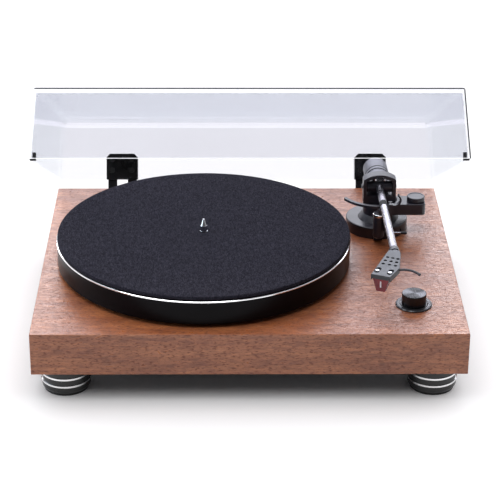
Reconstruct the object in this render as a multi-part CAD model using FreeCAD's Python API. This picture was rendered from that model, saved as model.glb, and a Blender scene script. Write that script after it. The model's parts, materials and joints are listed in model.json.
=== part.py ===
import FreeCAD, Part
import math
import os

# Belt-drive record player. Millimetres, +Z up, front towards -Y.
# The origin is the centre of the plinth, on the surface that the feet stand on.

# ---- driving dimensions -------------------------------------------------
PLINTH_WIDTH = 420.0
PLINTH_DEPTH = 345.0
PLINTH_THICK = 43.5
FOOT_HEIGHT = 29.0
FOOT_RADIUS = 24.2
TOP = FOOT_HEIGHT + PLINTH_THICK            # height of the plinth's top face
DECK_THICK = 12.0                           # wood left above the milled cavity
COVER_THICK = 3.0

PLATTER_X = -45.5
PLATTER_Y = -9.5
PLATTER_RADIUS = 150.0
PLATTER_GAP = 3.7                           # platter underside above the plinth
PLATTER_EDGE = TOP + 28.0                   # top of the polished edge
MAT_BASE = TOP + 29.3
MAT_THICK = 3.5
SPINDLE_RADIUS = 3.6
SPINDLE_BASE = 3.8                            # spindle below the record
SHAFT_RADIUS = 5.0
SUB_RADIUS = 62.0
PULLEY_RADIUS = 6.9
MOTOR_X = -132.0
MOTOR_Y = 40.5
BELT_THICK = 1.0
BELT_LOW = TOP + 9.5
BELT_WIDTH = 5.0

ARM_X = 139.3                               # the tonearm's vertical pivot axis
ARM_Y = 70.0
ARM_Z = TOP + 47.5                          # the tonearm's horizontal pivot axis
ARM_YAW = 1.1                               # degrees, parked arm away from -Y
TUBE_RADIUS = 3.8
TUBE_END = 156.0                            # pivot to the front end of the tube
SHELL_TOP = TOP + 52.0
SHELL_THICK = 4.2
SHELL_ANGLE = 22.7                          # degrees, headshell away from -Y
SHELL_FRONT = (124.1, -151.3)               # middle of the headshell's front edge
STYLUS_TIP = TOP + 33.3
YOKE_HALF = 17.2                              # half the width of the bearing frame
WEIGHT_RADIUS = 13.0
BASE_RADIUS = 32.5
BASE_HEIGHT = 12.5
HOUSING_TOP = TOP + 29.5
WING_TOP = TOP + 33.0                       # top of the arm that carries the anti-skate
SKATE_X = 178.2
SKATE_Y = 65.5
LIFT_X = 136.7
LIFT_Y = 28.0
LIFT_ARC = 42.0                             # radius of the lift platform

KNOB_X = 161.5
KNOB_Y = -110.5
KNOB_RADIUS = 12.0
BEZEL_RADIUS = 18.0

LID_WIDTH = 418.0
LID_DEPTH = 340.0
LID_HEIGHT = 67.5
LID_WALL = 3.0
LID_DRAFT = 4.75                            # how much each wall leans in
LID_LIFT = 2.0                              # closed rim above the plinth
LID_OPEN = 27.0                             # degrees open at rest
HINGE_X = 139.5
HINGE_Y = PLINTH_DEPTH / 2 + 10.0
HINGE_Z = TOP - 30.0

RUN = 0.05                                  # radial clearance of a running fit
UP = FreeCAD.Vector(0, 0, 1)
ALONG_X = FreeCAD.Vector(1, 0, 0)
ALONG_Y = FreeCAD.Vector(0, 1, 0)
ARM_BACK = FreeCAD.Vector(
    -math.sin(math.radians(ARM_YAW)), math.cos(math.radians(ARM_YAW)), 0
)
ARM_SIDE = ARM_BACK.cross(UP)               # to the right, seen from the front
PIVOT = FreeCAD.Vector(ARM_X, ARM_Y, ARM_Z)


# ---- helpers --------------------------------------------------------------
def vec(x, y, z):
    return FreeCAD.Vector(x, y, z)


def rod(x, y, low, high, radius):
    """Upright cylinder between two heights."""
    return Part.makeCylinder(radius, high - low, vec(x, y, low))


def pipe(x, y, low, high, outer, inner):
    return rod(x, y, low, high, outer).cut(rod(x, y, low - 1, high + 1, inner))


def cone(x, y, low, high, low_radius, high_radius):
    return Part.makeCone(low_radius, high_radius, high - low, vec(x, y, low))


def block(x0, x1, y0, y1, z0, z1):
    return Part.makeBox(x1 - x0, y1 - y0, z1 - z0, vec(x0, y0, z0))


def bar(start, end, radius):
    """Round bar between two points."""
    return Part.makeCylinder(radius, start.distanceToPoint(end), start, end - start)


def union(*shapes):
    return shapes[0].multiFuse(list(shapes[1:])).removeSplitter()


def group(shapes):
    """Separate solids that share one node."""
    return Part.makeCompound(list(shapes))


def polygon(points, height):
    """Prism on a closed outline of points, all at one height."""
    wire = Part.makePolygon(points + [points[0]])
    return Part.Face(wire).extrude(vec(0, 0, height))


def rounded_block(x0, x1, y0, y1, z0, z1, radius):
    """Block with rounded upright edges."""
    solid = block(x0, x1, y0, y1, z0, z1)
    edges = [e for e in solid.Edges if abs(e.tangentAt(e.FirstParameter).z) > 0.99]
    return solid.makeFillet(radius, edges)


def turned(x, y, outline):
    """Solid of revolution about an upright axis; outline is (radius, height)."""
    points = [vec(x + r, y, z) for r, z in outline]
    face = Part.Face(Part.makePolygon(points + [points[0]]))
    return face.revolve(vec(x, y, 0), UP, 360)


def arm_point(back, side=0.0, rise=0.0):
    """Point measured from the arm's pivot along the arm's own directions."""
    return PIVOT + ARM_BACK * back + ARM_SIDE * side + UP * rise


def arm_rod(front, rear, radius):
    """Cylinder on the arm's axis between two distances behind the pivot."""
    return bar(arm_point(front), arm_point(rear), radius)


def screw(x, y, low, high, radius, head_radius, head_height, up=True):
    """Screw with a hexagon socket; its head is on top, or below if not up."""
    shank = rod(x, y, low, high, radius)
    head_low = high if up else low - head_height
    head = rod(x, y, head_low, head_low + head_height, head_radius)
    depth = head_height * 0.6
    key = [
        vec(x + head_radius * 0.5 * math.cos(math.radians(a)),
            y + head_radius * 0.5 * math.sin(math.radians(a)),
            head_low + head_height - depth if up else head_low)
        for a in range(0, 360, 60)
    ]
    return union(shank, head).cut(polygon(key, depth))


# ---- plinth, bottom cover and feet ------------------------------------------
FOOT_X = 179.2
FOOT_Y = 141.0
CAVITY_X = 198.0
CAVITY_Y = 160.5
CORNER = 62.0                               # solid corner left for a foot
CAVITY_TOP = TOP - DECK_THICK
COVER_TOP = FOOT_HEIGHT + COVER_THICK
BEARING_HOLE = 11.0
PANEL_X = -50.0
PANEL_Z = FOOT_HEIGHT + 21.0
PANEL_HALF = 62.0
PANEL_RISE = 13.0
FEET = [(sx * FOOT_X, sy * FOOT_Y) for sx in (-1, 1) for sy in (-1, 1)]
COVER_SCREWS = [(sx * 120.0, sy * 166.5) for sx in (-1, 0, 1) for sy in (-1, 1)]
FOOT_SCREW_RADIUS = 3.0
COVER_SCREW_RADIUS = 1.6


def cavity_shape(margin, low, high):
    """Cross-shaped space inside the plinth, leaving the corners solid."""
    wide = block(-CAVITY_X + margin, CAVITY_X - margin,
                 -CAVITY_Y + CORNER, CAVITY_Y - CORNER, low, high)
    deep = block(-CAVITY_X + CORNER, CAVITY_X - CORNER,
                 -CAVITY_Y + margin, CAVITY_Y - margin, low, high)
    return union(wide, deep)


def make_plinth():
    half_w = PLINTH_WIDTH / 2
    half_d = PLINTH_DEPTH / 2
    body = block(-half_w, half_w, -half_d, half_d, FOOT_HEIGHT, TOP)
    body = body.makeChamfer(0.6, body.Edges)
    recess = block(-CAVITY_X - 6, CAVITY_X + 6, -CAVITY_Y - 9, CAVITY_Y + 9,
                   FOOT_HEIGHT - 1, COVER_TOP)
    window = block(PANEL_X - PANEL_HALF + 6, PANEL_X + PANEL_HALF - 6,
                   CAVITY_Y - 1, half_d + 1, PANEL_Z - 9, PANEL_Z + 9)
    panel_seat = block(PANEL_X - PANEL_HALF, PANEL_X + PANEL_HALF, half_d - 2.5,
                       half_d + 1, PANEL_Z - PANEL_RISE, PANEL_Z + PANEL_RISE)
    cuts = [cavity_shape(0, FOOT_HEIGHT - 1, CAVITY_TOP), recess, window, panel_seat]
    cuts.append(block(KNOB_X - 14, KNOB_X + 14, KNOB_Y - 14, CORNER - CAVITY_Y + 1,
                      FOOT_HEIGHT - 1, CAVITY_TOP))
    holes = [(PLATTER_X, PLATTER_Y, BEARING_HOLE), (MOTOR_X, MOTOR_Y, 11.0),
             (ARM_X, ARM_Y, 10.0), (KNOB_X, KNOB_Y, 4.5)]
    cuts += [rod(x, y, CAVITY_TOP - 1, TOP + 1, r) for x, y, r in holes]
    cuts += [rod(x, y, COVER_TOP - 1, TOP - 14, FOOT_SCREW_RADIUS) for x, y in FEET]
    cuts += [rod(x, y, COVER_TOP - 1, TOP - 25, COVER_SCREW_RADIUS)
             for x, y in COVER_SCREWS]
    cuts += [rod(x, y, CAVITY_TOP - 1, TOP + 1, 1.5) for x, y in arm_screw_places()]
    cuts += [back_rod(x, z, LID_REAR - 9, LID_REAR + 1, 1.6)
             for x, z in bracket_screw_places()]
    return cut_all(body, cuts)


def cut_all(body, cuts):
    for tool in cuts:
        body = body.cut(tool)
    return body


def arm_screw_places():
    reach = 27.0
    return [(ARM_X - 1.6 + reach * math.cos(math.radians(a)),
             ARM_Y + 1.0 + reach * math.sin(math.radians(a))) for a in (100, 200, 330)]


def make_bottom_cover():
    plate = block(-CAVITY_X - 5.5, CAVITY_X + 5.5, -CAVITY_Y - 8.5, CAVITY_Y + 8.5,
                  FOOT_HEIGHT, COVER_TOP)
    holes = [rod(x, y, FOOT_HEIGHT - 1, COVER_TOP + 1, COVER_SCREW_RADIUS)
             for x, y in COVER_SCREWS]
    holes += [rod(x, y, FOOT_HEIGHT - 1, COVER_TOP + 1, FOOT_SCREW_RADIUS)
              for x, y in FEET]
    vents = [rounded_block(-70 + 20 * i, -60 + 20 * i, 90, 120, FOOT_HEIGHT - 1,
                           COVER_TOP + 1, 2.5) for i in range(7)]
    return cut_all(plate, holes + vents)


RING_HEIGHTS = (10.5, 18.5)
RING_HALF = 0.9
PAD_RADIUS = 21.5
PAD_THICK = 2.5


def foot_body(x, y):
    """Turned foot, tapered below, with a groove for each bright ring."""
    outline = [(0, PAD_THICK), (PAD_RADIUS + 0.9, PAD_THICK), (FOOT_RADIUS - 0.6, 4.8),
               (FOOT_RADIUS - 0.6, 7.5), (FOOT_RADIUS - 0.6, FOOT_HEIGHT - 1.2),
               (FOOT_RADIUS - 1.6, FOOT_HEIGHT - 0.2), (0, FOOT_HEIGHT - 0.2)]
    body = turned(x, y, outline)
    for z in RING_HEIGHTS:
        body = body.cut(pipe(x, y, z - RING_HALF, z + RING_HALF, FOOT_RADIUS + 1,
                             FOOT_RADIUS - 2))
    well = rod(x, y, PAD_THICK - 1, 14.0, 6.0)
    return body.cut(well).cut(rod(x, y, 0, FOOT_HEIGHT + 1, FOOT_SCREW_RADIUS))


def foot_rings():
    return group(pipe(x, y, z - RING_HALF, z + RING_HALF, FOOT_RADIUS, FOOT_RADIUS - 2)
                 for x, y in FEET for z in RING_HEIGHTS)


def foot_pads():
    return group(rod(x, y, 0, PAD_THICK, PAD_RADIUS) for x, y in FEET)


def make_underside_screws():
    """Four screws up through the feet and six that hold the bottom cover."""
    screws = [screw(x, y, 14.0, TOP - 14, FOOT_SCREW_RADIUS, 5.5, 4.0, up=False)
              for x, y in FEET]
    screws += [screw(x, y, FOOT_HEIGHT, TOP - 25, COVER_SCREW_RADIUS, 3.0, 1.6, up=False)
               for x, y in COVER_SCREWS]
    return group(screws)


# ---- main bearing, platter and mat ------------------------------------------
BUSH_RADIUS = 8.0
BUSH_LENGTH = 10.0
BEARING_LOW = TOP - 39.0
BALL_RADIUS = 2.5
SHAFT_LOW = TOP - 31.0
SUB_TOP = TOP + 21.0
FLANGE_THICK = 2.2


def make_bearing_housing():
    body = union(rod(PLATTER_X, PLATTER_Y, BEARING_LOW, TOP, BEARING_HOLE),
                 rod(PLATTER_X, PLATTER_Y, TOP, TOP + FLANGE_THICK, 20.0))
    low = SHAFT_LOW - 2 * BALL_RADIUS - 0.1
    return body.cut(rod(PLATTER_X, PLATTER_Y, low, TOP + 3, BUSH_RADIUS))


def make_bushes():
    low = SHAFT_LOW + 3
    high = TOP + FLANGE_THICK - BUSH_LENGTH
    return group(pipe(PLATTER_X, PLATTER_Y, z, z + BUSH_LENGTH, BUSH_RADIUS,
                      SHAFT_RADIUS + RUN) for z in (low, high))


def make_thrust_ball():
    middle = SHAFT_LOW - BALL_RADIUS - 0.05
    ball = Part.makeSphere(BALL_RADIUS, vec(PLATTER_X, PLATTER_Y, middle))
    seat = pipe(PLATTER_X, PLATTER_Y, middle - BALL_RADIUS, middle, BUSH_RADIUS, 2.0)
    return union(ball, seat.cut(ball))


def make_spindle():
    r = SPINDLE_RADIUS
    seat = MAT_BASE + MAT_THICK + 0.2
    outline = [(0, SHAFT_LOW), (SHAFT_RADIUS - 0.5, SHAFT_LOW),
               (SHAFT_RADIUS, SHAFT_LOW + 0.5), (SHAFT_RADIUS, SUB_TOP),
               (SPINDLE_BASE, SUB_TOP), (SPINDLE_BASE, seat), (r, seat),
               (r, TOP + 39.0), (r - 0.4, TOP + 39.6), (0.9, TOP + 46.0), (0, TOP + 46.3)]
    return turned(PLATTER_X, PLATTER_Y, outline)


def make_sub_platter():
    """Moulded inner platter: hub, web, ribs and the rim that the belt drives."""
    low = TOP + 8.0
    web = TOP + 17.0
    outline = [(SHAFT_RADIUS, TOP + 4), (12, TOP + 4), (12, web), (SUB_RADIUS - 6, web),
               (SUB_RADIUS - 6, low), (SUB_RADIUS, low), (SUB_RADIUS, SUB_TOP),
               (SHAFT_RADIUS, SUB_TOP)]
    body = turned(PLATTER_X, PLATTER_Y, outline)
    ribs = []
    for i in range(6):
        rib = block(PLATTER_X + 11, PLATTER_X + SUB_RADIUS - 5, PLATTER_Y - 1.5,
                    PLATTER_Y + 1.5, TOP + 11, web + 1)
        rib.rotate(vec(PLATTER_X, PLATTER_Y, 0), UP, 60 * i)
        ribs.append(rib)
    return union(body, *ribs)


def make_platter():
    """Cast platter: deck over the inner platter, heavy rim, bevelled polished edge."""
    low = TOP + PLATTER_GAP
    r = PLATTER_RADIUS
    outline = [(SPINDLE_BASE + 0.02, SUB_TOP), (141, SUB_TOP), (141, low), (r - 1.2, low),
               (r - 0.4, low + 0.8), (r - 0.4, PLATTER_EDGE - 1.5),
               (r, PLATTER_EDGE - 1.1), (r, PLATTER_EDGE - 0.4), (r - 0.6, PLATTER_EDGE),
               (r - 1.1, MAT_BASE), (SPINDLE_BASE + 0.02, MAT_BASE)]
    return turned(PLATTER_X, PLATTER_Y, outline)


def make_mat():
    return pipe(PLATTER_X, PLATTER_Y, MAT_BASE, MAT_BASE + MAT_THICK,
                PLATTER_RADIUS - 1.0, SPINDLE_BASE + 0.4)


# ---- motor and belt -----------------------------------------------------------
MOTOR_RADIUS = 17.0
MOTOR_LOW = TOP - 38.0
MOTOR_HIGH = TOP - 14.0
MOTOR_EARS = [(MOTOR_X + sx * 24.0, MOTOR_Y) for sx in (-1, 1)]
MOTOR_SHAFT = 1.5


def make_motor():
    can = rod(MOTOR_X, MOTOR_Y, MOTOR_LOW, MOTOR_HIGH, MOTOR_RADIUS)
    boss = rod(MOTOR_X, MOTOR_Y, MOTOR_HIGH, MOTOR_HIGH + 3, 5.0)
    bore = rod(MOTOR_X, MOTOR_Y, MOTOR_HIGH - 16, MOTOR_HIGH + 4, MOTOR_SHAFT + RUN)
    terminals = block(MOTOR_X - 5, MOTOR_X + 5, MOTOR_Y - MOTOR_RADIUS - 3,
                      MOTOR_Y - MOTOR_RADIUS + 2, MOTOR_LOW + 3, MOTOR_LOW + 8)
    return union(can, boss, terminals).cut(bore)


def make_motor_plate():
    plate = rounded_block(MOTOR_X - 30, MOTOR_X + 30, MOTOR_Y - 12, MOTOR_Y + 12,
                          MOTOR_HIGH, CAVITY_TOP, 5.0)
    holes = [rod(MOTOR_X, MOTOR_Y, MOTOR_HIGH - 1, TOP, 5.0)]
    holes += [rod(x, y, MOTOR_HIGH - 1, TOP, 1.5) for x, y in MOTOR_EARS]
    return cut_all(plate, holes)


def make_motor_shaft():
    return rod(MOTOR_X, MOTOR_Y, MOTOR_HIGH - 15, TOP + 7, MOTOR_SHAFT)


def make_motor_pulley():
    """Pulley with a crowned track between two flanges."""
    track = PULLEY_RADIUS
    outline = [(0, TOP + 7), (track + 1.6, TOP + 7), (track + 1.6, TOP + 8.2),
               (track - 0.2, TOP + 9), (track, TOP + 12), (track - 0.2, TOP + 15),
               (track + 1.6, TOP + 15.8), (track + 1.6, TOP + 17), (0, TOP + 17)]
    return turned(MOTOR_X, MOTOR_Y, outline)


def belt_outline(extra):
    """Face round the inner platter and the pulley: two arcs and two tangents."""
    dx = MOTOR_X - PLATTER_X
    dy = MOTOR_Y - PLATTER_Y
    span = math.hypot(dx, dy)
    heading = math.atan2(dy, dx)
    big = SUB_RADIUS + 0.3 + extra
    small = PULLEY_RADIUS + 0.3 + extra
    open_angle = math.acos((big - small) / span)

    def at(cx, cy, radius, angle):
        return vec(cx + radius * math.cos(angle), cy + radius * math.sin(angle), BELT_LOW)

    up, down = heading + open_angle, heading - open_angle
    b1 = at(PLATTER_X, PLATTER_Y, big, up)
    b2 = at(PLATTER_X, PLATTER_Y, big, down)
    s1 = at(MOTOR_X, MOTOR_Y, small, up)
    s2 = at(MOTOR_X, MOTOR_Y, small, down)
    far = at(PLATTER_X, PLATTER_Y, big, heading + math.pi)
    near = at(MOTOR_X, MOTOR_Y, small, heading)
    edges = [Part.Arc(b1, far, b2).toShape(), Part.LineSegment(b2, s2).toShape(),
             Part.Arc(s2, near, s1).toShape(), Part.LineSegment(s1, b1).toShape()]
    return Part.Face(Part.Wire(edges))


def make_belt():
    ring = belt_outline(BELT_THICK).cut(belt_outline(0))
    return ring.extrude(vec(0, 0, BELT_WIDTH))


# ---- speed knob, switch, electronics and rear panel ---------------------------
KNOB_TOP = TOP + 12.8
KNOB_SHAFT = 3.0
SWITCH_LOW = CAVITY_TOP - 12.0


def make_bezel():
    outline = [(KNOB_SHAFT + 0.5, TOP), (BEZEL_RADIUS, TOP), (BEZEL_RADIUS, TOP + 0.9),
               (BEZEL_RADIUS - 0.9, TOP + 1.7), (KNOB_RADIUS + 2, TOP + 1.7),
               (KNOB_RADIUS + 1, TOP + 1.1), (KNOB_SHAFT + 0.5, TOP + 1.1)]
    return turned(KNOB_X, KNOB_Y, outline)


def make_knob():
    r = KNOB_RADIUS
    outline = [(0, TOP + 1.6), (r - 0.6, TOP + 1.6), (r, TOP + 2.2), (r, KNOB_TOP - 0.5),
               (r - 0.5, KNOB_TOP), (0, KNOB_TOP)]
    body = turned(KNOB_X, KNOB_Y, outline)
    dimple = Part.makeSphere(1.1, vec(KNOB_X, KNOB_Y - r + 2.6, KNOB_TOP + 0.6))
    shaft = rod(KNOB_X, KNOB_Y, SWITCH_LOW + 4, TOP + 2, KNOB_SHAFT)
    return union(body, shaft).cut(dimple)


def make_switch():
    case = block(KNOB_X - 13, KNOB_X + 13, KNOB_Y - 13, KNOB_Y + 13, SWITCH_LOW,
                 CAVITY_TOP)
    neck = rod(KNOB_X, KNOB_Y, CAVITY_TOP, TOP, 4.5)
    bore = rod(KNOB_X, KNOB_Y, SWITCH_LOW + 3, TOP + 1, KNOB_SHAFT + RUN)
    pins = [rod(KNOB_X - 8 + 4 * i, KNOB_Y - 6, SWITCH_LOW - 3, SWITCH_LOW + 1, 0.5)
            for i in range(5)]
    return union(case, neck, *pins).cut(bore)


BOARD_X0, BOARD_X1 = -20.0, 80.0
BOARD_Y0, BOARD_Y1 = 70.0, 130.0
BOARD_LOW = CAVITY_TOP - 9.6
BOARD_HOLES = [(x, y) for x in (BOARD_X0 + 5, BOARD_X1 - 5)
               for y in (BOARD_Y0 + 5, BOARD_Y1 - 5)]


def make_board():
    plate = block(BOARD_X0, BOARD_X1, BOARD_Y0, BOARD_Y1, BOARD_LOW, BOARD_LOW + 1.6)
    parts = [rod(BOARD_X0 + 16 + 11 * i, BOARD_Y0 + 12, BOARD_LOW - 12, BOARD_LOW, 4.0)
             for i in range(4)]
    parts += [block(BOARD_X0 + 18 + 22 * i, BOARD_X0 + 30 + 22 * i, BOARD_Y0 + 28,
                    BOARD_Y0 + 36, BOARD_LOW - 4, BOARD_LOW) for i in range(3)]
    body = union(plate, *parts)
    return cut_all(body, [rod(x, y, BOARD_LOW - 1, BOARD_LOW + 3, 1.5)
                          for x, y in BOARD_HOLES])


def make_inner_screws():
    """Screws of the motor plate, and of the circuit board with their spacers."""
    pieces = [screw(x, y, MOTOR_HIGH, CAVITY_TOP, 1.5, 3.2, 2.0, up=False)
              for x, y in MOTOR_EARS]
    for x, y in BOARD_HOLES:
        pieces.append(screw(x, y, BOARD_LOW, CAVITY_TOP, 1.5, 2.8, 1.8, up=False))
        pieces.append(pipe(x, y, BOARD_LOW + 1.6, CAVITY_TOP, 3.5, 1.5))
    return group(pieces)


PANEL_FACE = PLINTH_DEPTH / 2
JACK_PLACES = [(PANEL_X - 38.0, PANEL_Z), (PANEL_X - 16.0, PANEL_Z)]
GROUND_X = PANEL_X + 6.0
INLET_X = PANEL_X + 38.0
JACK_RADIUS = 4.15
GROUND_RADIUS = 2.0
INLET_RADIUS = 3.2


def back_rod(x, z, y0, y1, radius):
    return bar(vec(x, y0, z), vec(x, y1, z), radius)


def make_terminal_plate():
    y0 = PANEL_FACE - 2.5
    plate = block(PANEL_X - PANEL_HALF + 0.2, PANEL_X + PANEL_HALF - 0.2, y0,
                  PANEL_FACE - 0.5, PANEL_Z - PANEL_RISE + 0.2, PANEL_Z + PANEL_RISE - 0.2)
    holes = [back_rod(x, z, y0 - 1, PANEL_FACE + 1, 6.0) for x, z in JACK_PLACES]
    holes.append(back_rod(GROUND_X, PANEL_Z, y0 - 1, PANEL_FACE + 1, GROUND_RADIUS))
    holes.append(back_rod(INLET_X, PANEL_Z, y0 - 1, PANEL_FACE + 1, 5.5))
    holes += [back_rod(PANEL_X + sx * 57, PANEL_Z, y0 - 1, PANEL_FACE + 1, 1.5)
              for sx in (-1, 1)]
    return cut_all(plate, holes)


def make_jack(x, z):
    """Phono socket: flange, insulating body and the outer contact sleeve."""
    y0 = PANEL_FACE - 2.5
    flange = back_rod(x, z, PANEL_FACE - 0.5, PANEL_FACE + 1.0, 8.0)
    sleeve = back_rod(x, z, y0 - 12, PANEL_FACE + 9.5, JACK_RADIUS)
    neck = back_rod(x, z, y0 - 4, PANEL_FACE - 0.5, 6.0)
    bore = back_rod(x, z, PANEL_FACE + 1, PANEL_FACE + 11, 1.7)
    return union(flange, sleeve, neck).cut(bore)


def make_ground_terminal():
    post = back_rod(GROUND_X, PANEL_Z, PANEL_FACE - 10, PANEL_FACE + 8, GROUND_RADIUS)
    nut = back_rod(GROUND_X, PANEL_Z, PANEL_FACE + 1, PANEL_FACE + 5, 4.5)
    grip = [back_rod(GROUND_X + 4.6 * math.cos(math.radians(a)),
                     PANEL_Z + 4.6 * math.sin(math.radians(a)),
                     PANEL_FACE, PANEL_FACE + 6, 0.5) for a in range(0, 360, 24)]
    return cut_all(union(post, nut), grip)


def make_power_inlet():
    y0 = PANEL_FACE - 2.5
    case = block(INLET_X - 7, INLET_X + 7, y0 - 12, y0, PANEL_Z - 6, PANEL_Z + 6)
    neck = back_rod(INLET_X, PANEL_Z, y0, PANEL_FACE + 0.5, 5.5)
    socket = back_rod(INLET_X, PANEL_Z, PANEL_FACE - 10, PANEL_FACE + 1, INLET_RADIUS)
    return union(case, neck).cut(socket)


def wire_path(points, radius):
    """Insulated wire: straight runs joined by tangent arcs."""
    bend = 6.0
    edges = []
    start = points[0]
    for before, corner, after in zip(points, points[1:], points[2:]):
        into = (corner - before).normalize()
        out = (after - corner).normalize()
        turn = into.getAngle(out)
        back = bend * math.tan(turn / 2)
        enter = corner - into * back
        leave = corner + out * back
        inward = (out - into).normalize()
        centre = corner + inward * (bend / math.cos(turn / 2))
        middle = centre - inward * bend
        edges.append(Part.LineSegment(start, enter).toShape())
        edges.append(Part.Arc(enter, middle, leave).toShape())
        start = leave
    edges.append(Part.LineSegment(start, points[-1]).toShape())
    path = Part.Wire(edges)
    ring = Part.Wire(Part.makeCircle(radius, points[0], points[1] - points[0]))
    return path.makePipeShell([ring], True, False)


def make_wiring():
    level = BOARD_LOW - 16.0
    motor = [vec(MOTOR_X, MOTOR_Y - MOTOR_RADIUS - 3, MOTOR_LOW + 5.5),
             vec(MOTOR_X, -60, MOTOR_LOW + 5.5), vec(-20, -60, MOTOR_LOW + 5.5),
             vec(-20, 64, MOTOR_LOW + 5.5)]
    switch = [vec(KNOB_X, KNOB_Y + 13, level), vec(KNOB_X, 20, level),
              vec(70, 20, level), vec(70, 64, level)]
    return group(wire_path(route, 1.5) for route in (motor, switch))


# ---- tonearm base, lift and arm rest --------------------------------------------
BASE_X = ARM_X - 1.6
BASE_Y = ARM_Y + 1.0
COLUMN_RADIUS = 16.5
PIVOT_SHAFT = 4.0
SKATE_RADIUS = 9.4
LIFT_RADIUS = 6.0
LIFT_TOP = TOP + 36.4
LIFT_ROD = 2.0
PLATFORM_TOP = TOP + 43.3
REST_X0 = 145.2
LATCH_X = 147.4
LATCH_Z = ARM_Z
LATCH_Y0, LATCH_Y1 = 19.0, 24.0
LATCH_PIN = 0.8
LATCH_OPEN = 125.0
LEVER_X, LEVER_Y, LEVER_Z = 150.5, 37.5, TOP + 8.0


def make_arm_base():
    """Round base on the plinth, with a stub through the wood and a lever boss."""
    disc = rod(BASE_X, BASE_Y, TOP, TOP + BASE_HEIGHT, BASE_RADIUS)
    rim = [e for e in disc.Edges if e.BoundBox.ZMin > TOP + BASE_HEIGHT - 0.1]
    disc = disc.makeFillet(1.2, rim[:1])
    stub = rod(ARM_X, ARM_Y, TOP - 20, TOP, 9.8)
    boss = bar(vec(LEVER_X, LEVER_Y + 2.2, LEVER_Z), vec(LEVER_X, LEVER_Y + 9, LEVER_Z), 3.6)
    foot = block(LIFT_X - 4.5, LIFT_X + 4.5, LIFT_Y + LIFT_RADIUS - 2, BASE_Y - 25,
                 TOP + 1.5, TOP + 11)
    body = union(disc, stub, boss, foot)
    cuts = [rod(ARM_X, ARM_Y, TOP - 16, TOP + BASE_HEIGHT + 1, PIVOT_SHAFT + 1.5),
            rod(LIFT_X, LIFT_Y, TOP, TOP + 20, LIFT_RADIUS),
            bar(vec(LEVER_X, LEVER_Y, LEVER_Z), vec(LEVER_X, LEVER_Y + 6, LEVER_Z), 1.05),
            bar(vec(BASE_X + 26, BASE_Y - 24, TOP + 6), vec(BASE_X + 18, BASE_Y - 14, TOP + 6),
                1.4)]
    cuts += [rod(x, y, TOP - 1, TOP + 9, 1.5) for x, y in arm_screw_places()]
    return cut_all(body, cuts)


def make_arm_base_screws():
    """Screws that come up through the deck into the base."""
    return group(screw(x, y, CAVITY_TOP, TOP + 9, 1.5, 2.9, 2.0, False)
                 for x, y in arm_screw_places())


def make_arm_housing():
    """Column round the swing bearing, with the anti-skate arm reaching right."""
    low = TOP + BASE_HEIGHT
    column = rod(ARM_X, ARM_Y, low, HOUSING_TOP, COLUMN_RADIUS)
    skirt = cone(ARM_X, ARM_Y, low, low + 6, COLUMN_RADIUS + 5, COLUMN_RADIUS)
    wing = rounded_block(ARM_X, SKATE_X + 9.6, SKATE_Y - 11.5, SKATE_Y + 12,
                         TOP + 21.0, WING_TOP, 4.0)
    gap = rod(ARM_X, ARM_Y, HOUSING_TOP, WING_TOP + 1, YOKE_HALF + 2.2)
    top_edge = [e for e in wing.Edges if e.BoundBox.ZMin > WING_TOP - 0.1]
    wing = wing.makeFillet(0.8, top_edge)
    bore = rod(ARM_X, ARM_Y, low - 1, HOUSING_TOP + 1, PIVOT_SHAFT + 1.5)
    skate = rod(SKATE_X, SKATE_Y, TOP + 24, WING_TOP + 1, 2.0 + RUN)
    return union(column, skirt, wing).cut(gap).cut(bore).cut(skate)


def make_swing_bearing():
    """Two bronze sleeves that the yoke's shaft turns in."""
    return group(pipe(ARM_X, ARM_Y, z, z + 8, PIVOT_SHAFT + 1.5, PIVOT_SHAFT + RUN)
                 for z in (TOP - 10, HOUSING_TOP - 9))


def make_skate_knob():
    low = WING_TOP + 0.3
    top = TOP + 38.4
    r = SKATE_RADIUS
    outline = [(0, low), (r - 0.5, low), (r, low + 0.5), (r, top - 0.5), (r - 0.5, top),
               (r - 1.6, top), (r - 2.0, top - 0.4), (0, top - 0.4)]
    shaft = rod(SKATE_X, SKATE_Y, TOP + 25, low + 1, 2.0)
    grips = [rod(SKATE_X + (r + 0.15) * math.cos(math.radians(a)),
                 SKATE_Y + (r + 0.15) * math.sin(math.radians(a)), low + 0.8, top - 0.9,
                 0.45) for a in range(0, 360, 12)]
    return cut_all(union(turned(SKATE_X, SKATE_Y, outline), shaft), grips)


def make_lift_tower():
    low = TOP + 7.0
    outline = [(0, low + 1.5), (LIFT_RADIUS - 2.5, low), (LIFT_RADIUS, low + 2.5),
               (LIFT_RADIUS, LIFT_TOP - 1), (LIFT_RADIUS - 1, LIFT_TOP), (0, LIFT_TOP)]
    body = turned(LIFT_X, LIFT_Y, outline)
    return body.cut(rod(LIFT_X, LIFT_Y, TOP + 12, LIFT_TOP + 1, LIFT_ROD + RUN))


def arc_plate(inner, outer, low, high, first, last):
    """Part of a flat ring round the arm's vertical axis, between two angles."""
    ring = pipe(ARM_X, ARM_Y, low, high, outer, inner)
    reach = outer * 2
    corners = [vec(ARM_X, ARM_Y, low - 1)]
    steps = 4
    for i in range(steps + 1):
        a = math.radians(first + (last - first) * i / steps)
        corners.append(vec(ARM_X + reach * math.cos(a), ARM_Y + reach * math.sin(a), low - 1))
    return ring.common(polygon(corners, high - low + 2))


def make_lift_platform():
    low = PLATFORM_TOP - 2.6
    strip = arc_plate(LIFT_ARC - 1.8, LIFT_ARC + 1.8, low, PLATFORM_TOP, 210, 271)
    ends = [rod(ARM_X + LIFT_ARC * math.cos(math.radians(a)),
                ARM_Y + LIFT_ARC * math.sin(math.radians(a)), low, PLATFORM_TOP, 1.8)
            for a in (210, 271)]
    lift_rod = rod(LIFT_X, LIFT_Y, TOP + 18, low + 0.5, LIFT_ROD)
    return union(strip, lift_rod, *ends)


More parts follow.
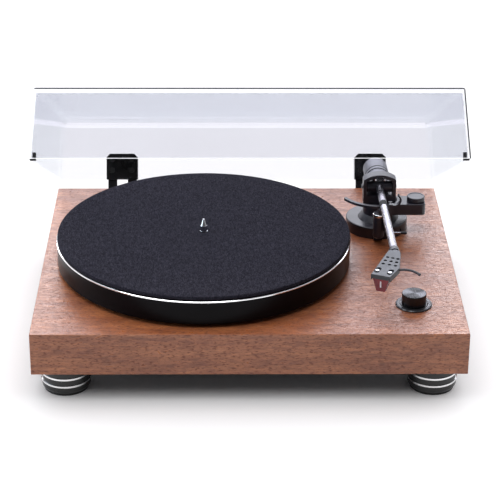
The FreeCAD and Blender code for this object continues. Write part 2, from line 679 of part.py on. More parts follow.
def make_arm_rest():
    """Post beside the tube, a ledge just below it and ears for the latch pin."""
    tower = rod(LIFT_X, LIFT_Y, TOP, TOP + 60, LIFT_RADIUS)
    post = block(REST_X0 - 2.5, 149.0, 17.0, 33.0, TOP + 16, TOP + 40)
    web = block(LIFT_X, 149.0, 24.0, 32.0, TOP + 16, TOP + 34)
    ledge = block(135.5, 149.0, 17.0, 22.6, TOP + 39.5, TOP + 43.2)
    wall = block(REST_X0, 149.0, 17.0, 27.0, TOP + 39.5, LATCH_Z - 2.3)
    ears = [block(REST_X0 + 0.3, 149.4, y, y + 1.7, TOP + 41, LATCH_Z + 2.0)
            for y in (LATCH_Y0 - 1.9, LATCH_Y1 + 0.2)]
    pin = bar(vec(LATCH_X, LATCH_Y0 - 1.9, LATCH_Z), vec(LATCH_X, LATCH_Y1 + 1.9, LATCH_Z),
              LATCH_PIN)
    return union(post, web, ledge, wall, pin, *ears).cut(tower)


def make_latch():
    """Hook that closes over the tube; made closed, then swung open to the right."""
    centre = vec(ARM_X + 0.95, LATCH_Y0, ARM_Z)
    hook = Part.makeCylinder(7.1, LATCH_Y1 - LATCH_Y0, centre, ALONG_Y)
    hook = hook.cut(Part.makeCylinder(5.4, 20, centre - ALONG_Y * 5, ALONG_Y))
    hook = hook.cut(block(centre.x - 20, centre.x + 20, 0, 40, ARM_Z - 20, ARM_Z))
    barrel = bar(vec(LATCH_X, LATCH_Y0, LATCH_Z), vec(LATCH_X, LATCH_Y1, LATCH_Z), 1.7)
    bore = bar(vec(LATCH_X, LATCH_Y0 - 1, LATCH_Z), vec(LATCH_X, LATCH_Y1 + 1, LATCH_Z),
               LATCH_PIN + RUN)
    latch = union(hook, barrel).cut(bore)
    latch.rotate(vec(LATCH_X, 0, LATCH_Z), ALONG_Y, LATCH_OPEN)
    return latch


def make_cue_lever():
    """Thin lever on a short spindle in the boss, with a separate tip."""
    spindle = bar(vec(LEVER_X, LEVER_Y - 1.2, LEVER_Z), vec(LEVER_X, LEVER_Y + 5.8, LEVER_Z),
                  1.0)
    hub = bar(vec(LEVER_X, LEVER_Y - 1.4, LEVER_Z), vec(LEVER_X, LEVER_Y + 1.9, LEVER_Z), 2.6)
    arm = bar(vec(LEVER_X, LEVER_Y, LEVER_Z), vec(LEVER_X + 12.0, LEVER_Y, LEVER_Z), 1.1)
    return union(spindle, hub, arm)


def make_lever_tip():
    start = LEVER_X + 10.5
    tip = union(bar(vec(start, LEVER_Y, LEVER_Z), vec(start + 5.0, LEVER_Y, LEVER_Z), 1.7),
                Part.makeSphere(1.7, vec(start + 5.0, LEVER_Y, LEVER_Z)))
    return tip.cut(bar(vec(LEVER_X, LEVER_Y, LEVER_Z), vec(LEVER_X + 12, LEVER_Y, LEVER_Z), 1.1))


# ---- moving tonearm ----------------------------------------------------------------
YOKE_FRONT = -7.6
YOKE_REAR = 4.6
YOKE_CROWN = TOP + 63.0
CROWN_RADIUS = 28.8
YOKE_WALL = 3.4
BLOCK_RADIUS = 6.5
BLOCK_HALF = 11.6
POINT_RADIUS = 1.5
YOKE_LOW = HOUSING_TOP + 0.5


def yoke_arch(front, rear, inset, low):
    """Upright block across the arm with a gently curved top."""
    half = YOKE_HALF - inset
    corners = [arm_point(back, side, low - ARM_Z)
               for back, side in ((front, -half), (front, half), (rear, half), (rear, -half))]
    upright = polygon(corners, 60.0)
    middle = YOKE_CROWN - CROWN_RADIUS - ARM_Z
    crown = bar(arm_point(front - 1, 0, middle), arm_point(rear + 1, 0, middle),
                CROWN_RADIUS - inset)
    return upright.common(crown)


def make_yoke():
    """Arched bearing frame that turns on a thin collar, with the vertical swing shaft."""
    arch = yoke_arch(YOKE_FRONT, YOKE_REAR, 0, YOKE_LOW)
    corners = [e for e in arch.Edges if e.BoundBox.ZLength < 0.1
               and YOKE_CROWN - 9 < e.BoundBox.ZMin < YOKE_CROWN - 3 and e.Length > 10]
    arch = arch.makeFillet(1.4, corners)
    window = yoke_arch(YOKE_FRONT - 1, YOKE_REAR + 1, YOKE_WALL, ARM_Z - BLOCK_RADIUS - 2)
    shaft = rod(ARM_X, ARM_Y, TOP - 11, YOKE_LOW + 1, PIVOT_SHAFT)
    holes = [bar(arm_point(0, s * (YOKE_HALF - YOKE_WALL - 1)), arm_point(0, s * 20.0),
                 POINT_RADIUS) for s in (-1, 1)]
    return cut_all(union(arch.cut(window), shaft), holes)


def make_pivot_screws():
    """Pointed screws through the frame's sides that the arm tips on."""
    shapes = []
    for side in (-1, 1):
        inner = arm_point(0, side * (BLOCK_HALF - 1.0))
        head = arm_point(0, side * YOKE_HALF)
        outer = arm_point(0, side * (YOKE_HALF + 1.0))
        slot = bar(arm_point(0, side * (YOKE_HALF + 0.4)), outer, 0.9)
        shapes.append(union(bar(inner, head, POINT_RADIUS), bar(head, outer, 2.6)).cut(slot))
    return group(shapes)


def make_pivot_block():
    """Barrel across the ring that carries the tube, tipping on the two points."""
    barrel = bar(arm_point(0, -BLOCK_HALF), arm_point(0, BLOCK_HALF), BLOCK_RADIUS)
    holes = [bar(arm_point(0, s * (BLOCK_HALF - 1.2)), arm_point(0, s * (BLOCK_HALF + 1)),
                 POINT_RADIUS + RUN) for s in (-1, 1)]
    holes.append(arm_rod(-20, 0, TUBE_RADIUS))
    holes.append(arm_rod(0, 20, 5.0))
    return cut_all(barrel, holes)


def make_tube():
    return arm_rod(-TUBE_END, 0, TUBE_RADIUS).cut(arm_rod(-TUBE_END - 1, -1, TUBE_RADIUS - 0.8))


def make_collar():
    ring = arm_rod(-TUBE_END - 6.5, -TUBE_END + 0.5, 4.9)
    return ring.cut(arm_rod(-TUBE_END, 0, TUBE_RADIUS))


SHELL_OUTLINE = [(0, -9.7), (0, 9.7), (22.2, 12.0), (53.0, 3.0), (60.0, -0.4),
                 (56.5, -10.6)]
SHELL_LOW = SHELL_TOP - SHELL_THICK
FLANGE = 1.2                                  # side walls below the plate
SLOT_BACK = 9.3
SLOT_ENDS = (7.2, 13.8)
SLOT_SIDE = 6.35


def shell_point(back, side, z):
    """Point on the headshell: behind its front edge, to its right, at a height."""
    a = math.radians(SHELL_ANGLE)
    return vec(SHELL_FRONT[0] + back * math.sin(a) + side * math.cos(a),
               SHELL_FRONT[1] + back * math.cos(a) - side * math.sin(a), z)


def shell_block(b0, b1, s0, s1, low, high):
    corners = [shell_point(b, s, low) for b, s in ((b0, s0), (b1, s0), (b1, s1), (b0, s1))]
    return polygon(corners, high - low)


def shell_slot(side, radius, low):
    """Lengthwise slot through the plate down to a height."""
    front, rear = SLOT_ENDS
    corners = [shell_point(back, side + across, low) for back, across in
               ((front, -radius), (front, radius), (rear, radius), (rear, -radius))]
    ends = [shell_point(back, side, low) for back in SLOT_ENDS]
    rounds = [rod(p.x, p.y, low, SHELL_TOP + 1, radius) for p in ends]
    return union(polygon(corners, SHELL_TOP + 1 - low), *rounds)


def make_headshell():
    """Thin plate with turned-down sides, nine holes and two screw slots."""
    floor = SHELL_LOW - FLANGE
    plate = polygon([shell_point(b, s, floor) for b, s in SHELL_OUTLINE], SHELL_THICK + FLANGE)
    inner = [shell_point(b, s, floor - 1) for b, s in
             ((1.6, -8.6), (1.6, 8.6), (21.5, 10.6), (46.0, 3.0), (50.0, -9.2))]
    plate = plate.cut(polygon(inner, SHELL_THICK + FLANGE + 1 - 2.0))
    plate = plate.cut(shell_block(-3.0, 1.7, -8.6, 8.6, floor - 1, SHELL_LOW))
    plate = plate.cut(shell_block(44.0, 70.0, -20.0, 20.0, floor - 1, SHELL_LOW))
    top_edges = [e for e in plate.Edges if e.BoundBox.ZMin > SHELL_TOP - 0.1]
    plate = plate.makeChamfer(0.4, top_edges)
    neck = arm_rod(-TUBE_END - 16, -TUBE_END - 6.5, 4.2)
    collar = arm_rod(-TUBE_END - 6.5, -TUBE_END + 0.5, 5.2)
    body = union(plate, neck).cut(collar)
    holes = []
    for row in range(3):
        for col in (-1, 0, 1):
            pitch = 6.2 - 0.5 * row
            p = shell_point(25.6 + 7.6 * row, (col - 0.15 * row) * pitch + 0.3, SHELL_LOW - 6)
            holes.append(rod(p.x, p.y, p.z, SHELL_TOP + 1, 1.75))
    for side in (-SLOT_SIDE, SLOT_SIDE):
        holes.append(shell_slot(side, 1.5, SHELL_LOW - 1))
        holes.append(shell_slot(side, 2.6, SHELL_TOP - 1.0))
    return cut_all(body, holes)


def make_finger_lift():
    start = shell_point(21.6, 11.2, SHELL_TOP - 2.0)
    middle = shell_point(23.0, 21.6, SHELL_TOP - 0.8)
    end = shell_point(21.0, 32.0, SHELL_TOP - 2.4)
    path = Part.Wire([Part.Arc(start, middle, end).toShape()])
    ring = Part.Wire(Part.makeCircle(1.25, start, middle - start))
    swept = path.makePipeShell([ring], True, False)
    return union(swept, Part.makeSphere(1.5, end))


RED_LOW = STYLUS_TIP + 1.2
MOUNT_TOP = SHELL_TOP - 2.0


def screw_hole(side, low, high, radius):
    p = shell_point(SLOT_BACK, side, low)
    return rod(p.x, p.y, low, high, radius)


def cartridge_cheeks(grow):
    """Wide rear part of the cartridge body, and with a clearance the room it takes."""
    half = 8.3 + grow
    profile = [(11.0 - grow, 0.3 + grow), (24.5 + grow, 0.3 + grow),
               (24.5 + grow, -4.5 - grow), (20.0 + grow, -6.0 - grow),
               (14.0 - grow, -4.0 - grow)]
    points = [shell_point(b, -half, SHELL_LOW + z) for b, z in profile]
    face = Part.Face(Part.makePolygon(points + [points[0]]))
    return face.extrude(shell_point(0, half, 0) - shell_point(0, -half, 0))


def make_cartridge():
    """Cartridge body under the headshell, with its four contact pins behind."""
    body = shell_block(3.0, 25.0, -6.9, 6.9, SHELL_LOW - 5.0, MOUNT_TOP)
    ears = shell_block(6.0, 13.0, -8.1, 8.1, SHELL_LOW + 0.1, MOUNT_TOP)
    pins = [bar(shell_point(24.0, s, SHELL_LOW - 3.0), shell_point(31.0, s, SHELL_LOW - 3.0),
                0.6) for s in (-4.5, -1.5, 1.5, 4.5)]
    body = union(body, ears, cartridge_cheeks(0), *pins)
    return cut_all(body, [screw_hole(s, SHELL_LOW, SHELL_TOP, 1.25)
                          for s in (-SLOT_SIDE, SLOT_SIDE)])


def make_stylus():
    """Wedge that clips over the body and narrows to the stylus at its front."""
    def ring(corners, z):
        points = [shell_point(b, s, z) for b, s in corners]
        return Part.makePolygon(points + [points[0]])
    top = ring(((0.4, -7.7), (24.0, -7.7), (24.0, 7.7), (0.4, 7.7)), SHELL_LOW - 0.2)
    bottom = ring(((1.4, -4.3), (7.4, -4.3), (7.4, 4.3), (1.4, 4.3)), RED_LOW)
    wedge = Part.makeLoft([top, bottom], True, True)
    socket = shell_block(2.95, 40.0, -6.95, 6.95, SHELL_LOW - 5.05, SHELL_LOW + 1)
    tip = shell_point(3.4, 0, STYLUS_TIP)
    needle = cone(tip.x, tip.y, STYLUS_TIP, RED_LOW + 0.8, 0.15, 0.9)
    wedge = wedge.cut(socket).cut(cartridge_cheeks(0.06))
    return union(wedge, needle)


def make_cartridge_screws():
    shapes = []
    for side in (-SLOT_SIDE, SLOT_SIDE):
        p = shell_point(SLOT_BACK, side, 0)
        shapes.append(screw(p.x, p.y, SHELL_LOW, SHELL_TOP - 1.0, 1.25, 1.85, 1.5))
    return group(shapes)


STUB_RADIUS = 5.0
BUSH_FRONT, BUSH_BACK = 17.0, 42.0
DIAL_FRONT, DIAL_BACK = 9.2, 15.0
WEIGHT_BACK = 48.0


def make_stub():
    stub = arm_rod(1.0, 40.0, STUB_RADIUS)
    return stub.cut(arm_rod(0, 4.0, TUBE_RADIUS + 0.2))


def make_weight_bush():
    ring = arm_rod(BUSH_FRONT, BUSH_BACK, 8.0)
    return ring.cut(arm_rod(0, BUSH_BACK + 1, STUB_RADIUS + RUN))


def make_dial():
    """Thin numbered ring in front of the weight."""
    ring = arm_rod(DIAL_FRONT, DIAL_BACK, WEIGHT_RADIUS - 0.2)
    return ring.cut(arm_rod(0, 50, STUB_RADIUS + 1.0))


def make_counterweight():
    weight = arm_rod(DIAL_BACK, WEIGHT_BACK, WEIGHT_RADIUS)
    rims = [e for e in weight.Edges if e.Length > 60]
    weight = weight.makeFillet(1.0, rims)
    groove = arm_rod(DIAL_BACK + 2.2, DIAL_BACK + 3.2, WEIGHT_RADIUS + 1)
    groove = groove.cut(arm_rod(DIAL_BACK, DIAL_BACK + 5, WEIGHT_RADIUS - 0.7))
    weight = weight.cut(groove)
    weight = weight.cut(arm_rod(0, BUSH_BACK + 0.3, 8.0 + RUN))
    return weight


# ---- dust cover and hinges -----------------------------------------------------------
RIM_Z = TOP + LID_LIFT
LID_REAR = PLINTH_DEPTH / 2
LID_FRONT = LID_REAR - LID_DEPTH
LEG_HALF = 5.0
BLOCK_HALF_WIDTH = 17.5
BARREL = 6.0
PIN_RADIUS = 2.5


def frustum(width, y0, y1, low, high, lean):
    """Box whose four walls lean in by the same amount towards the top."""
    def ring(inset, z):
        half = width / 2 - inset
        return Part.makePolygon([
            vec(-half, y0 + inset, z), vec(half, y0 + inset, z), vec(half, y1 - inset, z),
            vec(-half, y1 - inset, z), vec(-half, y0 + inset, z)])
    return Part.makeLoft([ring(0, low), ring(lean, high)], True, True)


def lid_screw_places():
    return [(side * HINGE_X + dx, z) for side in (-1, 1) for dx in (-11.0, 11.0)
            for z in (RIM_Z + 11.0, RIM_Z + 23.0)]


def wall_lean(z):
    """How far the lid's outer rear face has leaned in at a height."""
    return LID_DRAFT * (z - RIM_Z) / LID_HEIGHT


def make_lid():
    outer = frustum(LID_WIDTH, LID_FRONT, LID_REAR, RIM_Z, RIM_Z + LID_HEIGHT, LID_DRAFT)
    top = RIM_Z + LID_HEIGHT
    upright = [e for e in outer.Edges if e.BoundBox.ZLength > LID_HEIGHT / 2]
    crown = [e for e in outer.Edges if e.BoundBox.ZMin > top - 0.1]
    outer = outer.makeFillet(2.5, upright + crown)
    inner = frustum(LID_WIDTH - 2 * LID_WALL, LID_FRONT + LID_WALL, LID_REAR - LID_WALL,
                    RIM_Z - 0.01, top - LID_WALL, LID_DRAFT)
    holes = [back_rod(x, z, LID_REAR - 12, LID_REAR + 2, 1.5) for x, z in lid_screw_places()]
    return cut_all(outer.cut(inner), holes)


def make_bumpers():
    """Rubber blocks inside the rim's front corners that land on the plinth."""
    shapes = []
    for side in (-1, 1):
        x_wall = LID_WIDTH / 2 - LID_WALL - 0.3
        pad = block(x_wall - 3.6, x_wall + 2.0, LID_FRONT + 4.0, LID_FRONT + 10.0,
                    TOP + 0.3, RIM_Z - 0.05)
        plug = block(x_wall - 3.6, x_wall - 0.6, LID_FRONT + 4.0, LID_FRONT + 10.0,
                     RIM_Z - 0.1, RIM_Z + 6.0)
        shape = union(pad, plug)
        if side < 0:
            shape = shape.mirror(vec(0, 0, 0), ALONG_X)
        shapes.append(shape)
    return group(shapes)


def hinge_arm(side):
    """Half hinge on the lid's rear wall: block, two legs and a pinned barrel."""
    x = side * HINGE_X
    low, high = RIM_Z + 1.0, RIM_Z + 29.5
    y0, y1 = LID_REAR - LID_DRAFT, HINGE_Y + 2.0
    half = BLOCK_HALF_WIDTH
    cut = 4.0
    face = [vec(x - half, y0, low), vec(x + half, y0, low), vec(x + half, y0, high - cut),
            vec(x + half - cut, y0, high), vec(x - half + cut, y0, high),
            vec(x - half, y0, high - cut)]
    body = Part.Face(Part.makePolygon(face + [face[0]])).extrude(vec(0, y1 - y0, 0))
    legs = [block(x + s * 11.0 - LEG_HALF, x + s * 11.0 + LEG_HALF, HINGE_Y - 5, HINGE_Y + 2,
                  HINGE_Z, low + 2) for s in (-1, 1)]
    barrels = [bar(vec(x + s * 11.0 - LEG_HALF, HINGE_Y, HINGE_Z),
                   vec(x + s * 11.0 + LEG_HALF, HINGE_Y, HINGE_Z), BARREL) for s in (-1, 1)]
    body = union(body, *legs, *barrels)
    inside = frustum(LID_WIDTH, LID_FRONT, LID_REAR, RIM_Z, RIM_Z + LID_HEIGHT, LID_DRAFT)
    bore = bar(vec(x - 30, HINGE_Y, HINGE_Z), vec(x + 30, HINGE_Y, HINGE_Z), PIN_RADIUS + RUN)
    return body.cut(inside).cut(bore)


def make_hinge_arms():
    shapes = []
    for side in (-1, 1):
        holes = [back_rod(x, z, LID_REAR - 12, LID_REAR + 12, 1.5)
                 for x, z in lid_screw_places() if x * side > 0]
        shapes.append(cut_all(hinge_arm(side), holes))
    return group(shapes)


def make_lid_screws():
    """Screws from inside the lid through its rear wall into the hinge blocks."""
    shapes = []
    for x, z in lid_screw_places():
        face = LID_REAR - LID_WALL - wall_lean(z) - 0.4
        shank = back_rod(x, z, face, LID_REAR + 7, 1.5)
        head = back_rod(x, z, face - 1.6, face, 2.9)
        shapes.append(union(shank, head))
    return group(shapes)


def make_hinge_brackets():
    """Plates on the plinth's rear face with an ear between and outside the legs."""
    shapes = []
    for side in (-1, 1):
        x = side * HINGE_X
        plate = block(x - 22, x + 22, LID_REAR, LID_REAR + 2.5, HINGE_Z - 11, HINGE_Z + 20)
        ears = [union(block(c - 2.0, c + 2.0, LID_REAR + 1, HINGE_Y, HINGE_Z - 6, HINGE_Z + 6),
                      bar(vec(c - 2.0, HINGE_Y, HINGE_Z), vec(c + 2.0, HINGE_Y, HINGE_Z), 6.0))
                for c in (x - 19.0, x, x + 19.0)]
        body = union(plate, *ears)
        bore = bar(vec(x - 30, HINGE_Y, HINGE_Z), vec(x + 30, HINGE_Y, HINGE_Z), PIN_RADIUS)
        holes = [back_rod(sx, sz, LID_REAR - 1, LID_REAR + 4, 1.6)
                 for sx, sz in bracket_screw_places() if sx * side > 0]
        shapes.append(cut_all(body, [bore] + holes))
    return group(shapes)


def make_hinge_pins():
    return group(bar(vec(s * HINGE_X - 21.5, HINGE_Y, HINGE_Z),
                     vec(s * HINGE_X + 21.5, HINGE_Y, HINGE_Z), PIN_RADIUS) for s in (-1, 1))


def bracket_screw_places():
    return [(side * HINGE_X + dx, HINGE_Z + 14.0) for side in (-1, 1)
            for dx in (-10.0, 10.0)]


def make_rear_screws():
    """Screws of the hinge brackets and of the terminal plate."""
    shapes = [union(back_rod(x, z, LID_REAR - 9, LID_REAR + 2.5, 1.6),
                    back_rod(x, z, LID_REAR + 2.5, LID_REAR + 3.7, 3.0))
              for x, z in bracket_screw_places()]
    for side in (-1, 1):
        x = PANEL_X + side * 57.0
        shapes.append(union(back_rod(x, PANEL_Z, PANEL_FACE - 2.5, PANEL_FACE - 0.5, 1.5),
                            back_rod(x, PANEL_Z, PANEL_FACE - 0.5, PANEL_FACE + 0.7, 2.8)))
    return group(shapes)


# ---- the nodes, one STEP file each --------------------------------------------------
fixed = {
    "plinth": make_plinth, "bottom_cover": make_bottom_cover,
    "underside_screws": make_underside_screws,
    "foot_rings": foot_rings, "foot_pads": foot_pads,
    "bearing_housing": make_bearing_housing, "bearing_bushes": make_bushes,
    "thrust_ball": make_thrust_ball, "motor": make_motor, "motor_plate": make_motor_plate,
    "inner_screws": make_inner_screws, "drive_belt": make_belt, "knob_bezel": make_bezel,
    "speed_switch": make_switch, "circuit_board": make_board,
    "terminal_plate": make_terminal_plate,
    "ground_terminal": make_ground_terminal, "power_inlet": make_power_inlet,
    "inner_wiring": make_wiring,
    "hinge_brackets": make_hinge_brackets, "hinge_pins": make_hinge_pins,
    "rear_screws": make_rear_screws, "arm_base": make_arm_base,
    "arm_base_screws": make_arm_base_screws, "arm_housing": make_arm_housing,
    "swing_bearing": make_swing_bearing, "lift_tower": make_lift_tower,
    "arm_rest": make_arm_rest,
}
moving = {
    "spindle": make_spindle, "sub_platter": make_sub_platter, "platter": make_platter,
    "slip_mat": make_mat, "motor_shaft": make_motor_shaft,
    "motor_pulley": make_motor_pulley, "speed_knob": make_knob,
    "anti_skate_knob": make_skate_knob, "lift_platform": make_lift_platform,
    "arm_rest_latch": make_latch, "cue_lever": make_cue_lever,
    "cue_lever_tip": make_lever_tip, "arm_yoke": make_yoke,
    "arm_pivot_screws": make_pivot_screws, "arm_pivot_block": make_pivot_block,
    "arm_tube": make_tube, "headshell_collar": make_collar, "headshell": make_headshell,
    "finger_lift": make_finger_lift, "cartridge_body": make_cartridge,
    "stylus_assembly": make_stylus, "cartridge_screws": make_cartridge_screws,
    "counterweight_stub": make_stub, "counterweight_bush": make_weight_bush,
    "force_dial": make_dial, "counterweight": make_counterweight,
}
lid = {
    "dust_cover": make_lid, "lid_bumpers": make_bumpers, "hinge_arms": make_hinge_arms,
    "hinge_arm_screws": make_lid_screws,
}


def save(name, shape):
    if not shape.isValid():
        print("not valid:", name)
    shape.exportStep(os.path.join("parts", name + ".step"))


os.makedirs("parts", exist_ok=True)
for name, make in {**fixed, **moving}.items():
    save(name, make())
save("foot_bodies", group(foot_body(x, y) for x, y in FEET))
save("phono_jacks", group(make_jack(x, z) for x, z in JACK_PLACES))
for name, make in lid.items():
    shape = make()
    shape.rotate(vec(0, HINGE_Y, HINGE_Z), ALONG_X, -LID_OPEN)
    save(name, shape)
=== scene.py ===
import json
import math

import bmesh
import bpy
from mathutils import Matrix, Vector


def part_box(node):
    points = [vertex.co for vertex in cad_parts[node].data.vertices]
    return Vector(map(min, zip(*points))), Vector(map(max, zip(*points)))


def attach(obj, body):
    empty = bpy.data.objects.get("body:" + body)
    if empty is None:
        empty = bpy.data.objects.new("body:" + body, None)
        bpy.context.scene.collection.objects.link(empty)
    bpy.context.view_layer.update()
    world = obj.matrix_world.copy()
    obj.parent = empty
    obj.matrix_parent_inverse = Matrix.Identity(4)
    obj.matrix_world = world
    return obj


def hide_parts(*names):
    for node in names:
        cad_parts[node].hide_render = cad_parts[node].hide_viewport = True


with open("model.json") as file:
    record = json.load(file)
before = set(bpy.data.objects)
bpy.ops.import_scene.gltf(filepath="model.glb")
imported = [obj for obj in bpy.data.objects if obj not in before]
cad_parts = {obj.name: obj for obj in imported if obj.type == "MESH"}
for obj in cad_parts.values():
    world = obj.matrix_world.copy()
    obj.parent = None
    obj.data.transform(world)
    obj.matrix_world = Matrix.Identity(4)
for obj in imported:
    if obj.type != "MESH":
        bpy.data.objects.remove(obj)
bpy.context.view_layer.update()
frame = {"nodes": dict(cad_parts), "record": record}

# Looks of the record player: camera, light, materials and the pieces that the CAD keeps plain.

NODES = frame["nodes"]
RECORD = frame["record"]
JOINTS = {joint["name"]: joint for joint in RECORD["behaviour"]["joints"]}
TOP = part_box("plinth")[1][2]         # upper face of the plinth
PLATTER_AXIS = Vector(JOINTS["platter_spin"]["pos_m"])
ARM_PIVOT = Vector(JOINTS["arm_lift"]["pos_m"])
ARM_BACK = Vector(JOINTS["weight_turn"]["axis"])
ARM_RIGHT = -Vector(JOINTS["arm_lift"]["axis"])
COVER_HINGE = Vector(JOINTS["dust_cover_hinge"]["pos_m"])
COVER_OPEN = math.radians(-JOINTS["dust_cover_hinge"]["range_deg"][0])
KNOB_AXIS = Vector(JOINTS["speed_knob_turn"]["pos_m"])
UP = Vector((0, 0, 1))
RIGHT = Vector((1, 0, 0))
MM = 0.001

LID_FRONT = -350.0 * MM              # front wall from the hinge line, lid closed
LID_REAR = -10.0 * MM                # rear wall from the hinge line, lid closed
LID_HALF = 209.0 * MM                # half the width of the lid at its rim
LID_HEIGHT = 67.5 * MM
LID_LEAN = 4.75 / 67.5               # how far its walls lean in for each unit of height
LID_WALL = 3.2 * MM                  # just over the thickness of a wall
PLATTER_EDGE = 148.6 * MM            # radius where the bright cut edge starts
TUBE_RADIUS = 3.8 * MM
LIFT_X = 136.7 * MM                  # middle of the lift tower
LIFT_RADIUS = 6.0 * MM
SHELL_FRONT = Vector((124.1, -151.3)) * MM   # middle of the headshell's front edge
SHELL_TURN = math.radians(22.7)              # headshell's turn away from straight ahead


# ---- camera and light -------------------------------------------------------------
def add_camera():
    """Looks down at the front of the player from about 1.9 m away; angles in radians."""
    at = Vector((-0.0216, -1.7216, 0.9081))
    yaw = 0.0137
    pitch = -0.4489
    roll = 0.005
    forward = Vector((math.sin(yaw) * math.cos(pitch), math.cos(yaw) * math.cos(pitch),
                      math.sin(pitch)))
    level = Vector((math.cos(yaw), -math.sin(yaw), 0.0))
    upright = level.cross(forward)
    right = math.cos(roll) * level + math.sin(roll) * upright
    up = -math.sin(roll) * level + math.cos(roll) * upright
    data = bpy.data.cameras.new("camera")
    data.lens = 133.2
    data.sensor_width = 36.0
    camera = bpy.data.objects.new("camera", data)
    camera.matrix_world = Matrix((
        (right.x, up.x, -forward.x, at.x),
        (right.y, up.y, -forward.y, at.y),
        (right.z, up.z, -forward.z, at.z),
        (0.0, 0.0, 0.0, 1.0)))
    bpy.context.collection.objects.link(camera)
    bpy.context.scene.camera = camera


def add_area_light(name, at, target, size, power, colour=(1.0, 1.0, 1.0)):
    """A softbox that faces its target."""
    data = bpy.data.lights.new(name, "AREA")
    data.color = colour
    data.shape = "RECTANGLE"
    data.size, data.size_y = size
    data.energy = power
    light = bpy.data.objects.new(name, data)
    light.location = at
    light.rotation_euler = (Vector(target) - Vector(at)).to_track_quat("-Z", "Y").to_euler()
    bpy.context.collection.objects.link(light)
    return light


def link_light(light, floor, state):
    """Keeps a light off the floor, or gives it to the floor alone."""
    chosen = bpy.data.collections.new(light.name + "_receivers")
    chosen.objects.link(floor)
    light.light_linking.receiver_collection = chosen
    chosen.collection_objects[0].light_linking.link_state = state


def add_floor():
    """Pale paper floor with an even, very soft light of its own from above."""
    bpy.ops.mesh.primitive_plane_add(size=12, location=(0, 0, 0))
    floor = bpy.context.object
    floor.name = "floor"
    paper = Shader("floor_pale", (0.94, 0.94, 0.94), 0.9, Specular_IOR_Level=0.0)
    floor.data.materials.append(paper.material)
    data = bpy.data.lights.new("floor_light", "SUN")
    data.energy = 2.95
    data.angle = math.radians(102)
    light = bpy.data.objects.new("floor_light", data)
    light.rotation_euler = (math.radians(-8), 0, 0)
    bpy.context.collection.objects.link(light)
    link_light(light, floor, "INCLUDE")
    return floor


def add_studio():
    """Bright behind and above, dim in front, softboxes and a pale floor."""
    world = bpy.data.worlds.new("studio")
    world.use_nodes = True
    tree = world.node_tree
    background = tree.nodes["Background"]
    background.inputs["Color"].default_value = (0.95, 0.94, 1.0, 1.0)
    towards = tree.nodes.new("ShaderNodeTexCoord")
    parts = tree.nodes.new("ShaderNodeSeparateXYZ")
    fade = tree.nodes.new("ShaderNodeMapRange")
    fade.interpolation_type = "SMOOTHSTEP"
    fade.inputs["From Min"].default_value = -0.7
    fade.inputs["From Max"].default_value = 0.5
    fade.inputs["To Min"].default_value = 0.12
    fade.inputs["To Max"].default_value = 0.8
    tree.links.new(towards.outputs["Generated"], parts.inputs["Vector"])
    tree.links.new(parts.outputs["Y"], fade.inputs["Value"])
    tree.links.new(fade.outputs["Result"], background.inputs["Strength"])
    bpy.context.scene.world = world
    bpy.context.scene.view_settings.view_transform = "Standard"
    floor = add_floor()
    boxes = [add_area_light("softbox_top", (-0.25, 0.15, 1.7), (0, 0, 0), (2.2, 1.4), 38.0),
             add_area_light("softbox_back", (0, 1.75, 0.95), (0, 0, 0.1), (3.4, 0.9), 46.0,
                            (0.96, 0.96, 1.0)),
             add_area_light("softbox_left", (-1.7, -0.1, 0.7), (0, 0, 0.1), (1.4, 0.9), 18.0,
                            (0.70, 0.86, 1.0))]
    for box in boxes:
        link_light(box, floor, "EXCLUDE")


